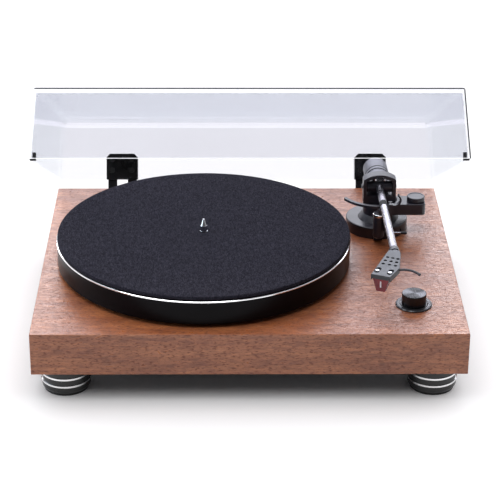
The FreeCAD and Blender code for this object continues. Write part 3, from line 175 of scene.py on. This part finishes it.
# ---- shader helpers ----------------------------------------------------------------
class Shader:
    """A material with a Principled surface, and short ways to add detail to it."""

    def __init__(self, name, colour, roughness, metallic=0.0, **sockets):
        self.material = bpy.data.materials.new(name)
        self.material.use_nodes = True
        self.tree = self.material.node_tree
        self.surface = self.tree.nodes["Principled BSDF"]
        self.set("Base Color", (*colour, 1.0))
        self.set("Roughness", roughness)
        self.set("Metallic", metallic)
        for key, value in sockets.items():
            self.set(key.replace("_", " "), value)
        coordinates = self.node("ShaderNodeTexCoord")
        self.place = coordinates.outputs["Object"]
        self.bumps = None

    def set(self, socket, value):
        self.surface.inputs[socket].default_value = value

    def node(self, kind, **values):
        node = self.tree.nodes.new(kind)
        for key, value in values.items():
            setattr(node, key, value)
        return node

    def link(self, output, socket):
        self.tree.links.new(output, socket)

    def moved(self, location=(0, 0, 0), rotation=(0, 0, 0), scale=(1, 1, 1), source=None):
        """Coordinates seen from another place, for grain, rings and marks."""
        mapping = self.node("ShaderNodeMapping", vector_type="POINT")
        mapping.inputs["Location"].default_value = location
        mapping.inputs["Rotation"].default_value = rotation
        mapping.inputs["Scale"].default_value = scale
        self.link(source or self.place, mapping.inputs["Vector"])
        return mapping.outputs["Vector"]

    def noise(self, scale, detail=4.0, roughness=0.55, distortion=0.0, place=None):
        node = self.node("ShaderNodeTexNoise")
        node.inputs["Scale"].default_value = scale
        node.inputs["Detail"].default_value = detail
        node.inputs["Roughness"].default_value = roughness
        node.inputs["Distortion"].default_value = distortion
        self.link(place or self.place, node.inputs["Vector"])
        return node.outputs["Fac"]

    def ramp(self, factor, stops):
        node = self.node("ShaderNodeValToRGB")
        band = node.color_ramp
        while len(band.elements) < len(stops):
            band.elements.new(0.5)
        for element, (position, colour) in zip(band.elements, stops):
            element.position = position
            element.color = (*colour, 1.0)
        self.link(factor, node.inputs["Fac"])
        return node.outputs["Color"]

    def grey(self, factor, low, high, from_low=0.3, from_high=0.7):
        """A factor stretched to run from low to high."""
        node = self.node("ShaderNodeMapRange")
        node.inputs["From Min"].default_value = from_low
        node.inputs["From Max"].default_value = from_high
        node.inputs["To Min"].default_value = low
        node.inputs["To Max"].default_value = high
        self.link(factor, node.inputs["Value"])
        return node.outputs["Result"]

    def math(self, operation, a, b=None):
        node = self.node("ShaderNodeMath", operation=operation)
        for socket, value in zip(node.inputs, (a, b)):
            if isinstance(value, (int, float)):
                socket.default_value = value
            elif value is not None:
                self.link(value, socket)
        return node.outputs["Value"]

    def all_of(self, first, *others):
        """A mask that is one only where every mask is one."""
        for other in others:
            first = self.math("MULTIPLY", first, other)
        return first

    def between(self, value, low, high):
        return self.all_of(self.math("GREATER_THAN", value, low),
                           self.math("LESS_THAN", value, high))

    def times(self, a, b):
        """One colour multiplied by another."""
        node = self.node("ShaderNodeMix", data_type="RGBA", blend_type="MULTIPLY")
        node.inputs[0].default_value = 1.0
        self.link(a, node.inputs[6])
        self.link(b, node.inputs[7])
        return node.outputs[2]

    def mix(self, factor, a, b):
        node = self.node("ShaderNodeMix", data_type="RGBA")
        self.link(factor, node.inputs[0])
        for socket, value in ((node.inputs[6], a), (node.inputs[7], b)):
            if isinstance(value, tuple):
                socket.default_value = (*value, 1.0)
            else:
                self.link(value, socket)
        return node.outputs[2]

    def blend(self, factor, a, b):
        """Two shaders mixed by a factor."""
        node = self.node("ShaderNodeMixShader")
        for socket, output in zip(node.inputs, (factor, a, b)):
            self.link(output, socket)
        return node.outputs[0]

    def xyz(self, place=None):
        node = self.node("ShaderNodeSeparateXYZ")
        self.link(place or self.place, node.inputs["Vector"])
        return node.outputs

    def colour_from(self, output):
        self.link(output, self.surface.inputs["Base Color"])

    def roughness_from(self, output):
        self.link(output, self.surface.inputs["Roughness"])

    def metallic_from(self, output):
        self.link(output, self.surface.inputs["Metallic"])

    def bump(self, height, depth, strength=1.0):
        """Relief of a real depth in metres; a second call lies on top of the first."""
        node = self.node("ShaderNodeBump")
        node.inputs["Strength"].default_value = strength
        node.inputs["Distance"].default_value = depth
        self.link(height, node.inputs["Height"])
        if self.bumps:
            self.link(self.bumps, node.inputs["Normal"])
        self.bumps = node.outputs["Normal"]
        self.link(self.bumps, self.surface.inputs["Normal"])


def shade(colour, factor):
    return tuple(channel * factor for channel in colour)


# ---- materials ----------------------------------------------------------------------
def wood():
    """Oiled reddish veneer: fine grain along X, short dark pores and soft cross ripple."""
    s = Shader("wood_veneer", (0.27, 0.12, 0.07), 0.36, IOR=1.5)
    figure = s.noise(16.0, 5.0, 0.6, 0.8, s.moved(scale=(1.0, 5.0, 5.0)))
    fine = s.noise(90.0, 6.0, 0.7, 0.3, s.moved(scale=(0.7, 8.0, 8.0)))
    tone = s.ramp(figure, [(0.30, (0.210, 0.058, 0.019)), (0.50, (0.288, 0.090, 0.030)),
                           (0.70, (0.380, 0.131, 0.047))])
    streak = s.ramp(fine, [(0.34, (0.78, 0.74, 0.72)), (0.5, (1.0, 1.0, 1.0)),
                           (0.68, (1.18, 1.17, 1.15))])
    mottle = s.noise(170.0, 3.0, 0.65, 0.6, s.moved(scale=(0.55, 1.6, 1.6)))
    pores = s.noise(760.0, 2.0, 0.5, 0.0, s.moved(scale=(0.30, 1.0, 1.0)))
    pore_mask = s.grey(pores, 0.85, 0.0, 0.33, 0.46)
    flecks = s.ramp(mottle, [(0.36, (0.76, 0.72, 0.72)), (0.64, (1.16, 1.17, 1.18))])
    veneer = s.times(s.times(tone, streak), flecks)
    s.colour_from(s.mix(pore_mask, veneer, (0.135, 0.044, 0.028)))
    ripple = s.noise(120.0, 3.0, 0.6, 0.8, s.moved(scale=(1.0, 1.7, 1.7)))
    s.roughness_from(s.grey(mottle, 0.46, 0.26))
    s.link(s.grey(pore_mask, 0.72, 0.25, 0, 1), s.surface.inputs["Specular IOR Level"])
    s.bump(ripple, 0.00042, 0.5)
    s.bump(pore_mask, -0.00018, 0.8)
    s.bump(fine, 0.00006, 0.4)
    return s.material


def moulded(name, colour, roughness, grain=900.0, depth=0.00004, **sockets):
    """Plastic or paint: fine even grain and a slow change of gloss."""
    s = Shader(name, colour, roughness, **sockets)
    s.roughness_from(s.grey(s.noise(35.0, 3.0), roughness * 0.85, roughness * 1.15))
    patch = s.noise(18.0, 4.0)
    s.colour_from(s.mix(s.grey(patch, 0.0, 1.0), shade(colour, 0.85), shade(colour, 1.15)))
    s.bump(s.noise(grain, 2.0), depth, 0.35)
    return s.material


def polished(name, colour, roughness=0.08, smear=60.0):
    """Bright metal with faint polishing smears."""
    s = Shader(name, colour, roughness, 1.0)
    marks = s.noise(smear, 5.0, 0.6)
    s.roughness_from(s.grey(marks, roughness * 0.7, roughness * 1.6))
    s.colour_from(s.mix(s.grey(marks, 0.0, 1.0), shade(colour, 0.93), colour))
    s.bump(s.noise(700.0, 2.0), 0.00001, 0.2)
    return s.material


def turned_metal(name, colour, roughness, axis_at, pitch=0.00035, metallic=1.0):
    """Metal with the fine rings a lathe leaves round an upright axis."""
    s = Shader(name, colour, roughness, metallic)
    local = s.moved(location=tuple(-c for c in axis_at))
    rings = s.node("ShaderNodeTexWave", wave_type="RINGS", rings_direction="Z")
    rings.inputs["Scale"].default_value = 1.0 / (20.0 * pitch)
    rings.inputs["Distortion"].default_value = 0.4
    s.link(local, rings.inputs["Vector"])
    s.roughness_from(s.grey(rings.outputs["Fac"], roughness * 0.8, roughness * 1.3, 0, 1))
    patch = s.noise(40.0, 4.0)
    s.colour_from(s.mix(s.grey(patch, 0.0, 1.0), shade(colour, 0.88), shade(colour, 1.08)))
    s.bump(rings.outputs["Fac"], 0.00001, 0.4)
    return s.material


def weight_metal():
    """Satin turned weight with two black lines round its front end."""
    s = Shader("weight_metal", (0.13, 0.13, 0.142), 0.46, 1.0)
    local = s.moved(location=tuple(-c for c in ARM_PIVOT))
    along = s.node("ShaderNodeVectorMath", operation="DOT_PRODUCT")
    along.inputs[1].default_value = ARM_BACK
    s.link(local, along.inputs[0])
    back = along.outputs["Value"]
    line = s.math("MAXIMUM", s.between(back, 16.6 * MM, 19.4 * MM),
                  s.between(back, 23.4 * MM, 26.0 * MM))
    turning = s.node("ShaderNodeTexWave", wave_type="BANDS", bands_direction="X")
    turning.inputs["Scale"].default_value = 160.0
    place = s.node("ShaderNodeCombineXYZ")
    s.link(back, place.inputs["X"])
    s.link(place.outputs["Vector"], turning.inputs["Vector"])
    satin = s.mix(s.grey(s.noise(40.0, 4.0), 0, 1), (0.140, 0.140, 0.158), (0.170, 0.170, 0.190))
    s.colour_from(s.mix(line, satin, (0.006, 0.006, 0.007)))
    s.roughness_from(s.grey(turning.outputs["Fac"], 0.4, 0.55, 0, 1))
    s.bump(turning.outputs["Fac"], 0.00001, 0.4)
    return s.material


def platter_metal():
    """Satin black casting with its diamond-cut edge left bright."""
    s = Shader("platter_metal", (0.012, 0.011, 0.012), 0.3, 0.0, Specular_IOR_Level=0.08)
    height = s.xyz()[2]
    edge_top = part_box("platter")[1][2] - 1.3 * MM
    level = s.between(height, edge_top - 1.15 * MM, edge_top + 0.05 * MM)
    radial = s.moved(location=(-PLATTER_AXIS.x, -PLATTER_AXIS.y, 0), scale=(1, 1, 0))
    length = s.node("ShaderNodeVectorMath", operation="LENGTH")
    s.link(radial, length.inputs[0])
    outside = s.math("GREATER_THAN", length.outputs["Value"], PLATTER_EDGE)
    bright = s.all_of(level, outside)
    black = s.mix(s.grey(s.noise(25.0, 3.0), 0, 1), (0.0016, 0.0012, 0.0015), (0.004, 0.003, 0.004))
    s.colour_from(s.mix(bright, black, (0.92, 0.92, 0.93)))
    s.metallic_from(bright)
    s.roughness_from(s.grey(bright, 0.3, 0.12, 0, 1))
    s.bump(s.noise(500.0, 3.0), 0.00003, 0.35)
    return s.material


def felt():
    """Black wool felt: short crossing fibres, soft lumps and a dusty sheen."""
    s = Shader("felt", (0.013, 0.012, 0.017), 0.95, Sheen_Weight=0.02, Sheen_Roughness=0.5,
               Specular_IOR_Level=0.05)
    s.set("Sheen Tint", (0.8, 0.8, 0.95, 1.0))
    lumps = s.noise(160.0, 4.0, 0.6)
    fibres = s.noise(800.0, 3.0, 0.7, 1.6, s.moved(rotation=(0, 0, 0.6), scale=(1, 0.35, 1)))
    cross = s.noise(800.0, 3.0, 0.7, 1.6, s.moved(rotation=(0, 0, 2.1), scale=(1, 0.35, 1)))
    both = s.math("MAXIMUM", fibres, cross)
    base = s.ramp(lumps, [(0.3, (0.0045, 0.004, 0.007)), (0.7, (0.0105, 0.0098, 0.0155))])
    s.colour_from(s.mix(s.grey(both, 0.0, 0.75, 0.5, 0.8), base, (0.085, 0.080, 0.104)))
    s.bump(lumps, 0.0003, 0.35)
    s.bump(both, 0.00025, 0.6)
    return s.material


def spun_knob():
    """Black sides and a bright spun top, with two bright fans painted on it as highlights."""
    s = Shader("spun_knob", (0.02, 0.02, 0.02), 0.25, Anisotropic=0.8)
    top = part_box("speed_knob")[1][2] - 0.25 * MM
    is_top = s.math("GREATER_THAN", s.xyz()[2], top)
    local = s.moved(location=tuple(-c for c in KNOB_AXIS))
    rings = s.node("ShaderNodeTexWave", wave_type="RINGS", rings_direction="Z")
    rings.inputs["Scale"].default_value = 140.0
    rings.inputs["Distortion"].default_value = 0.5
    s.link(local, rings.inputs["Vector"])
    # Two bright fans across the top, painted by angle round the axis as highlights.
    fan = s.node("ShaderNodeTexGradient", gradient_type="RADIAL")
    s.link(s.moved(rotation=(0, 0, 0.35), source=local), fan.inputs["Vector"])
    turn = s.math("MULTIPLY", fan.outputs["Fac"], 4.0 * math.pi)
    painted_fan_highlight = s.grey(s.math("COSINE", turn), 0.0, 1.0, -0.2, 1.0)
    metal = s.mix(painted_fan_highlight, (0.008, 0.008, 0.010), (0.13, 0.13, 0.14))
    s.colour_from(s.mix(is_top, (0.006, 0.005, 0.006), metal))
    s.metallic_from(is_top)
    s.roughness_from(s.grey(is_top, 0.38, 0.26, 0, 1))
    tangent = s.node("ShaderNodeTangent", direction_type="RADIAL", axis="Z")
    s.link(tangent.outputs["Tangent"], s.surface.inputs["Tangent"])
    s.bump(rings.outputs["Fac"], 0.00001, 0.3)
    return s.material


def lid_panels(s):
    """Masks for the lid's walls and bends, in the place of the closed lid, and for the painted
    shade, highlights and rim light laid on them.
    """
    turned = s.moved(location=(0, -COVER_HINGE.y, -COVER_HINGE.z))
    turned = s.moved(rotation=(COVER_OPEN, 0, 0), source=turned)
    across, depth, height = s.xyz(turned)
    rim = TOP + 2.0 * MM - COVER_HINGE.z
    crown = rim + LID_HEIGHT
    lean = s.math("MULTIPLY", s.math("SUBTRACT", height, rim), LID_LEAN)
    outer = s.math("ADD", s.math("ABSOLUTE", across), lean)
    front = s.math("LESS_THAN", s.math("SUBTRACT", depth, lean), LID_FRONT + LID_WALL)
    side = s.math("GREATER_THAN", outer, LID_HALF - LID_WALL)
    back = s.math("GREATER_THAN", s.math("ADD", depth, lean), LID_REAR - LID_WALL)
    top = s.math("GREATER_THAN", height, crown - LID_WALL)
    level = s.math("SUBTRACT", height, s.math("MULTIPLY", depth, 0.08))
    # These three mark the front wall's rims, made bright with painted light.
    strip = s.math("GREATER_THAN", height, crown - 5.4 * MM)
    ends = s.math("GREATER_THAN", outer, LID_HALF - 2.6 * MM)
    foot = s.math("LESS_THAN", height, rim + 0.35 * MM)
    # These two mark the dark outer edge of the front wall, painted on as shade.
    right = s.math("GREATER_THAN", s.math("ADD", across, lean), LID_HALF - 1.7 * MM)
    upper = s.math("GREATER_THAN", height, crown - 1.9 * MM)
    return {
        "front": front,
        "back": back,
        "top": top,
        # Paler band high on the back wall: a painted highlight.
        "painted_bend_highlight": s.all_of(s.between(height, crown - 9.5 * MM, crown - LID_WALL), back),
        # Darker line where the top meets the side walls: painted shade.
        "painted_seam_shade": s.all_of(s.between(height, crown - 5.2 * MM, crown - LID_WALL), side),
        # Darker tint above the level line is painted shade; the band just below it is a painted
        # highlight.
        "shade": s.math("GREATER_THAN", level, crown - 2.2 * MM),
        "painted_light_band": s.between(level, crown - 7.0 * MM, crown - 2.2 * MM),
        "edge": s.all_of(s.math("MAXIMUM", upper, right), front),
        "painted_rim_light": s.all_of(s.math("MAXIMUM", s.math("MAXIMUM", strip, ends), foot), front),
    }


def acrylic():
    """Clear moulded lid: faint tint with painted shading per wall, rims made bright with painted
    light and one outer edge painted dark as shade.
    """
    s = Shader("clear_acrylic", (0.95, 0.96, 0.97), 0.35)
    # Emission on this surface, let in at the rims only, is painted light.
    s.set("Emission Color", (0.97, 0.97, 1.0, 1.0))
    s.set("Emission Strength", 0.5)
    clear = s.node("ShaderNodeBsdfTransparent")
    gloss = s.node("ShaderNodeBsdfGlossy")
    gloss.inputs["Roughness"].default_value = 0.03
    gloss.inputs["Color"].default_value = (0.95, 0.96, 0.98, 1.0)
    fresnel = s.node("ShaderNodeFresnel")
    fresnel.inputs["IOR"].default_value = 1.35
    haze = s.grey(s.noise(9.0, 4.0), 0.0, 0.010)
    amount = s.math("ADD", s.math("MULTIPLY", fresnel.outputs["Fac"], 0.4), haze)
    # Dark diffuse laid on the outer edge as painted shade.
    painted_edge_shade = s.node("ShaderNodeBsdfDiffuse")
    painted_edge_shade.inputs["Color"].default_value = (0.11, 0.11, 0.12, 1.0)
    lid = lid_panels(s)
    # The faint tint is the acrylic's own; the differences between walls are painted shading,
    # matched to how light passes each wall.
    tint = s.mix(lid["shade"], (0.870, 0.878, 0.885), (0.840, 0.847, 0.867))
    for panel, colour in (("painted_light_band", (0.915, 0.915, 0.935)),
                          ("back", (0.872, 0.872, 0.884)),
                          ("painted_bend_highlight", (0.945, 0.945, 0.96)),
                          ("top", (0.840, 0.850, 0.872)),
                          ("painted_seam_shade", (0.74, 0.74, 0.77)),
                          ("front", (0.906, 0.908, 0.926))):
        tint = s.mix(lid[panel], tint, colour)
    s.link(tint, clear.inputs["Color"])
    body = s.blend(amount, clear.outputs[0], gloss.outputs[0])
    body_with_painted_rim_light = s.blend(s.math("MULTIPLY", lid["painted_rim_light"], 0.85), body, s.surface.outputs[0])
    body_with_painted_edge = s.blend(lid["edge"], body_with_painted_rim_light, painted_edge_shade.outputs[0])
    s.link(body_with_painted_edge, s.tree.nodes["Material Output"].inputs["Surface"])
    return s.material


def red_plastic():
    """Translucent red moulding with a pale line painted down its front as a highlight."""
    s = Shader("stylus_red", (0.42, 0.018, 0.035), 0.22, Transmission_Weight=0.15, IOR=1.5,
               Specular_IOR_Level=0.3, Coat_Weight=0.1, Coat_Roughness=0.08)
    depth = s.noise(120.0, 3.0)
    red = s.mix(s.grey(depth, 0, 1), (0.10, 0.003, 0.008), (0.19, 0.006, 0.014))
    local = s.moved(location=(-SHELL_FRONT.x, -SHELL_FRONT.y, -TOP))
    across, back, height = s.xyz(s.moved(rotation=(0, 0, SHELL_TURN), source=local))
    # Pale line down the front, a painted highlight of its front ridge.
    line = s.all_of(s.between(across, -0.7 * MM, 0.7 * MM),
                    s.math("LESS_THAN", back, 2.4 * MM),
                    s.between(height, 38.8 * MM, 45.4 * MM))
    s.colour_from(s.mix(line, red, (0.62, 0.52, 0.54)))
    s.bump(s.noise(600.0, 2.0), 0.00002, 0.2)
    return s.material


def circuit():
    """Green lacquered board with darker printed tracks."""
    s = Shader("circuit", (0.02, 0.12, 0.05), 0.35)
    tracks = s.node("ShaderNodeTexBrick")
    tracks.inputs["Scale"].default_value = 60.0
    tracks.inputs["Mortar Size"].default_value = 0.03
    tracks.inputs["Color1"].default_value = (0.02, 0.13, 0.05, 1)
    tracks.inputs["Color2"].default_value = (0.03, 0.16, 0.06, 1)
    tracks.inputs["Mortar"].default_value = (0.01, 0.07, 0.03, 1)
    s.link(s.place, tracks.inputs["Vector"])
    s.colour_from(tracks.outputs["Color"])
    s.bump(s.noise(300.0, 3.0), 0.00003, 0.4)
    return s.material


def headshell_grey():
    """Satin headshell casting: grey top, sides painted nearly black as shade and slot floors
    painted black as shade.
    """
    s = Shader("shell_grey", (0.1, 0.1, 0.1), 0.45, 0.3)
    slot_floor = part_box("headshell")[1][2] - 0.7 * MM
    geometry = s.node("ShaderNodeNewGeometry")
    facing_up = s.math("GREATER_THAN", s.xyz(geometry.outputs["Normal"])[2], 0.9)
    # Upward faces below the top are the floors of the slots, painted black as shade.
    slot = s.all_of(facing_up, s.math("LESS_THAN", s.xyz()[2], slot_floor))
    grey = s.mix(s.grey(s.noise(60.0, 4.0), 0, 1), (0.072, 0.074, 0.082), (0.108, 0.110, 0.122))
    # Faces that look up keep the grey; every other face is painted nearly black as shade.
    grey_with_painted_side_shade = s.mix(facing_up, (0.026, 0.026, 0.030), grey)
    s.colour_from(s.mix(slot, grey_with_painted_side_shade, (0.008, 0.008, 0.008)))
    s.bump(s.noise(1200.0, 2.0), 0.00003, 0.35)
    return s.material


def make_materials():
    """One material for each slot of the record."""
    steel = (0.55, 0.56, 0.57)
    return {
        "wood": wood(),
        "board_black": moulded("board_black", (0.02, 0.02, 0.02), 0.6, 400.0, 0.0001),
        "steel_screw": polished("steel_screw", (0.12, 0.12, 0.13), 0.3),
        "bright_screw": polished("bright_screw", (0.62, 0.62, 0.65), 0.14),
        "foot_black": moulded("foot_black", (0.012, 0.012, 0.012), 0.32),
        "chrome_ring": polished("chrome_ring", (0.9, 0.9, 0.91), 0.06),
        "rubber": moulded("rubber", (0.018, 0.018, 0.018), 0.75, 500.0, 0.00012),
        "bearing_steel": turned_metal("bearing_steel", steel, 0.28, PLATTER_AXIS),
        "bronze": turned_metal("bronze", (0.5, 0.32, 0.14), 0.35, PLATTER_AXIS),
        "motor_can": moulded("motor_can", (0.5, 0.5, 0.51), 0.35, Metallic=1.0),
        "circuit": circuit(),
        "wire": moulded("wire", (0.05, 0.012, 0.012), 0.5),
        "platter_metal": platter_metal(),
        "inner_platter": moulded("inner_platter", (0.03, 0.03, 0.03), 0.5),
        "spindle_steel": turned_metal("spindle_steel", (0.75, 0.76, 0.78), 0.12,
                                      PLATTER_AXIS, pitch=0.0002),
        "felt": felt(),
        "knob_black": spun_knob(),
        "arm_black": moulded("arm_black", (0.018, 0.016, 0.023), 0.33),
        "arm_metal": polished("arm_metal", (0.33, 0.32, 0.35), 0.27),
        "shell_grey": headshell_grey(),
        "cartridge_black": moulded("cartridge_black", (0.02, 0.006, 0.008), 0.25),
        "stylus_red": red_plastic(),
        "weight_metal": weight_metal(),
        "gold_plate": polished("gold_plate", (0.83, 0.6, 0.26), 0.18),
        "clear_acrylic": acrylic(),
        "hinge_black": moulded("hinge_black", (0.009, 0.009, 0.009), 0.3, 600.0, 0.00006),
    }


def dress_nodes(materials):
    """Every CAD node takes the material of its slot in the record."""
    for part in RECORD["subparts"]:
        node = NODES[part["node"]]
        node.data.materials.clear()
        node.data.materials.append(materials[part["material_slot"]])
    bezel = turned_metal("bezel_grey", (0.07, 0.07, 0.075), 0.3, KNOB_AXIS, metallic=0.8)
    NODES["knob_bezel"].data.materials[0] = bezel
    NODES["hinge_arm_screws"].data.materials[0] = materials["hinge_black"]
    NODES["force_dial"].data.materials[0] = materials["weight_metal"]
    NODES["arm_pivot_screws"].data.materials[0] = materials["steel_screw"]


# ---- pieces ---------------------------------------------------------------------------
def mesh_piece(name, mesh, body, material):
    """Links a finished bmesh as a piece that rides on a body."""
    data = bpy.data.meshes.new(name)
    bmesh.ops.recalc_face_normals(mesh, faces=mesh.faces)
    mesh.to_mesh(data)
    mesh.free()
    data.materials.append(material)
    piece = bpy.data.objects.new(name, data)
    bpy.context.collection.objects.link(piece)
    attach(piece, body)
    return piece


def in_mm(outline):
    return [(radius * MM, distance * MM) for radius, distance in outline]


def smooth(piece, angle=35.0):
    piece.data.shade_smooth()
    piece.data.set_sharp_from_angle(angle=math.radians(angle))


def lathe(mesh, outline, segments, origin, along, start):
    """Turns (radius, distance) points round the line from origin along a direction."""
    side = start.normalized()
    other = along.cross(side)
    rings = []
    for radius, distance in outline:
        ring = []
        for i in range(segments):
            a = 2 * math.pi * i / segments
            offset = side * (radius * math.cos(a)) + other * (radius * math.sin(a))
            ring.append(mesh.verts.new(origin + along * distance + offset))
        rings.append(ring)
    for lower, upper in zip(rings, rings[1:]):
        for i in range(segments):
            j = (i + 1) % segments
            mesh.faces.new((lower[i], lower[j], upper[j], upper[i]))
    return rings


def mat_height(x, y):
    """Small soft waves that a felt mat has, up to a tenth of a millimetre."""
    return 0.06 * MM * (math.sin(41 * x + 17 * y) + math.sin(63 * y - 29 * x + 1.3))


def make_felt_mat(material):
    """Felt disc lying on the platter: soft edge, centre hole, very slight waves."""
    low, high = (Vector(c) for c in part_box("slip_mat"))
    radius = (high.x - low.x) / 2
    thick = high.z - low.z
    hole = 4.0 * MM
    soft = 0.9 * MM
    outline = [(hole, 0.02 * MM), (hole, thick - 0.5 * MM), (hole + 0.5 * MM, thick)]
    steps = 26
    for i in range(1, steps):
        outline.append((hole + (radius - soft - hole) * i / steps, thick))
    for i in range(5):
        a = math.pi / 2 * i / 4
        outline.append((radius - soft + soft * math.sin(a), thick - soft + soft * math.cos(a)))
    outline += [(radius - 0.1 * MM, 0.4 * MM), (radius - 0.7 * MM, 0.02 * MM),
                (hole, 0.02 * MM)]
    mesh = bmesh.new()
    origin = Vector((PLATTER_AXIS.x, PLATTER_AXIS.y, low.z))
    lathe(mesh, outline, 160, origin, UP, RIGHT)
    bmesh.ops.remove_doubles(mesh, verts=mesh.verts, dist=1e-7)
    for vert in mesh.verts:
        if vert.co.z > low.z + thick * 0.6:
            reach = (Vector((vert.co.x, vert.co.y)) - Vector(origin.xy)).length
            fade = min(1.0, max(0.0, (radius - reach) / (10 * MM)))
            vert.co.z += (mat_height(vert.co.x, vert.co.y) - 0.13 * MM) * fade
    piece = mesh_piece("felt_mat", mesh, "platter", material)
    smooth(piece, 50)
    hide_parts("slip_mat")


def make_tube_sleeve(material):
    """Black sleeve on the tube where it lies in the arm rest."""
    front, back = -54.0 * MM, -44.0 * MM
    bevelled = TUBE_RADIUS + 0.25 * MM
    outer = TUBE_RADIUS + 0.35 * MM
    outline = [(TUBE_RADIUS, front), (bevelled, front), (outer, front + 0.5 * MM),
               (outer, back - 0.5 * MM), (bevelled, back), (TUBE_RADIUS, back)]
    mesh = bmesh.new()
    lathe(mesh, outline, 48, ARM_PIVOT, ARM_BACK, ARM_RIGHT)
    piece = mesh_piece("tube_sleeve", mesh, "tonearm", material)
    smooth(piece)


def make_pivot_pins(material):
    """Two bright pins with flat heads that stand on the tonearm's pivot block."""
    outline = in_mm([(0.02, 5.6), (1.2, 5.6), (1.2, 6.7), (2.4, 6.7),
                     (2.7, 7.0), (2.7, 9.0), (2.4, 9.3), (0.02, 9.3)])
    for side, name in ((-5.0 * MM, "pivot_pin_left"), (5.0 * MM, "pivot_pin_right")):
        mesh = bmesh.new()
        lathe(mesh, outline, 32, ARM_PIVOT + ARM_RIGHT * side, UP, RIGHT)
        bmesh.ops.holes_fill(mesh, edges=mesh.edges)
        piece = mesh_piece(name, mesh, "tonearm", material)
        smooth(piece)


def make_pivot_washers(material):
    """Black washers that fill the gaps between the pivot block and the yoke."""
    outline = in_mm([(2.8, 11.65), (6.2, 11.65), (6.4, 11.9), (6.4, 13.3),
                     (6.2, 13.5), (2.8, 13.5), (2.8, 11.65)])
    for side, name in ((-1.0, "pivot_washer_left"), (1.0, "pivot_washer_right")):
        mesh = bmesh.new()
        lathe(mesh, outline, 40, ARM_PIVOT, ARM_RIGHT * side, UP)
        bmesh.ops.remove_doubles(mesh, verts=mesh.verts, dist=1e-7)
        piece = mesh_piece(name, mesh, "tonearm", material)
        smooth(piece)


def make_lift_ring(material):
    """Bright ring round the top of the lift tower."""
    low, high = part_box("lift_tower")
    middle = Vector((LIFT_X, low[1] + LIFT_RADIUS, 0.0))
    top = high[2] - 1.2 * MM
    inner = LIFT_RADIUS - 0.05 * MM
    bevelled = LIFT_RADIUS + 0.4 * MM
    outer = LIFT_RADIUS + 0.55 * MM
    outline = [(inner, top - 3.2 * MM), (bevelled, top - 3.0 * MM), (outer, top - 2.6 * MM),
               (outer, top - 0.6 * MM), (bevelled, top - 0.2 * MM), (inner, top)]
    mesh = bmesh.new()
    lathe(mesh, outline, 48, middle, UP, RIGHT)
    piece = mesh_piece("lift_ring", mesh, "chassis", material)
    smooth(piece)


add_camera()
add_studio()
MATERIALS = make_materials()
dress_nodes(MATERIALS)
make_felt_mat(MATERIALS["felt"])
make_tube_sleeve(MATERIALS["rubber"])
make_pivot_pins(MATERIALS["bright_screw"])
make_pivot_washers(MATERIALS["arm_black"])
make_lift_ring(MATERIALS["chrome_ring"])
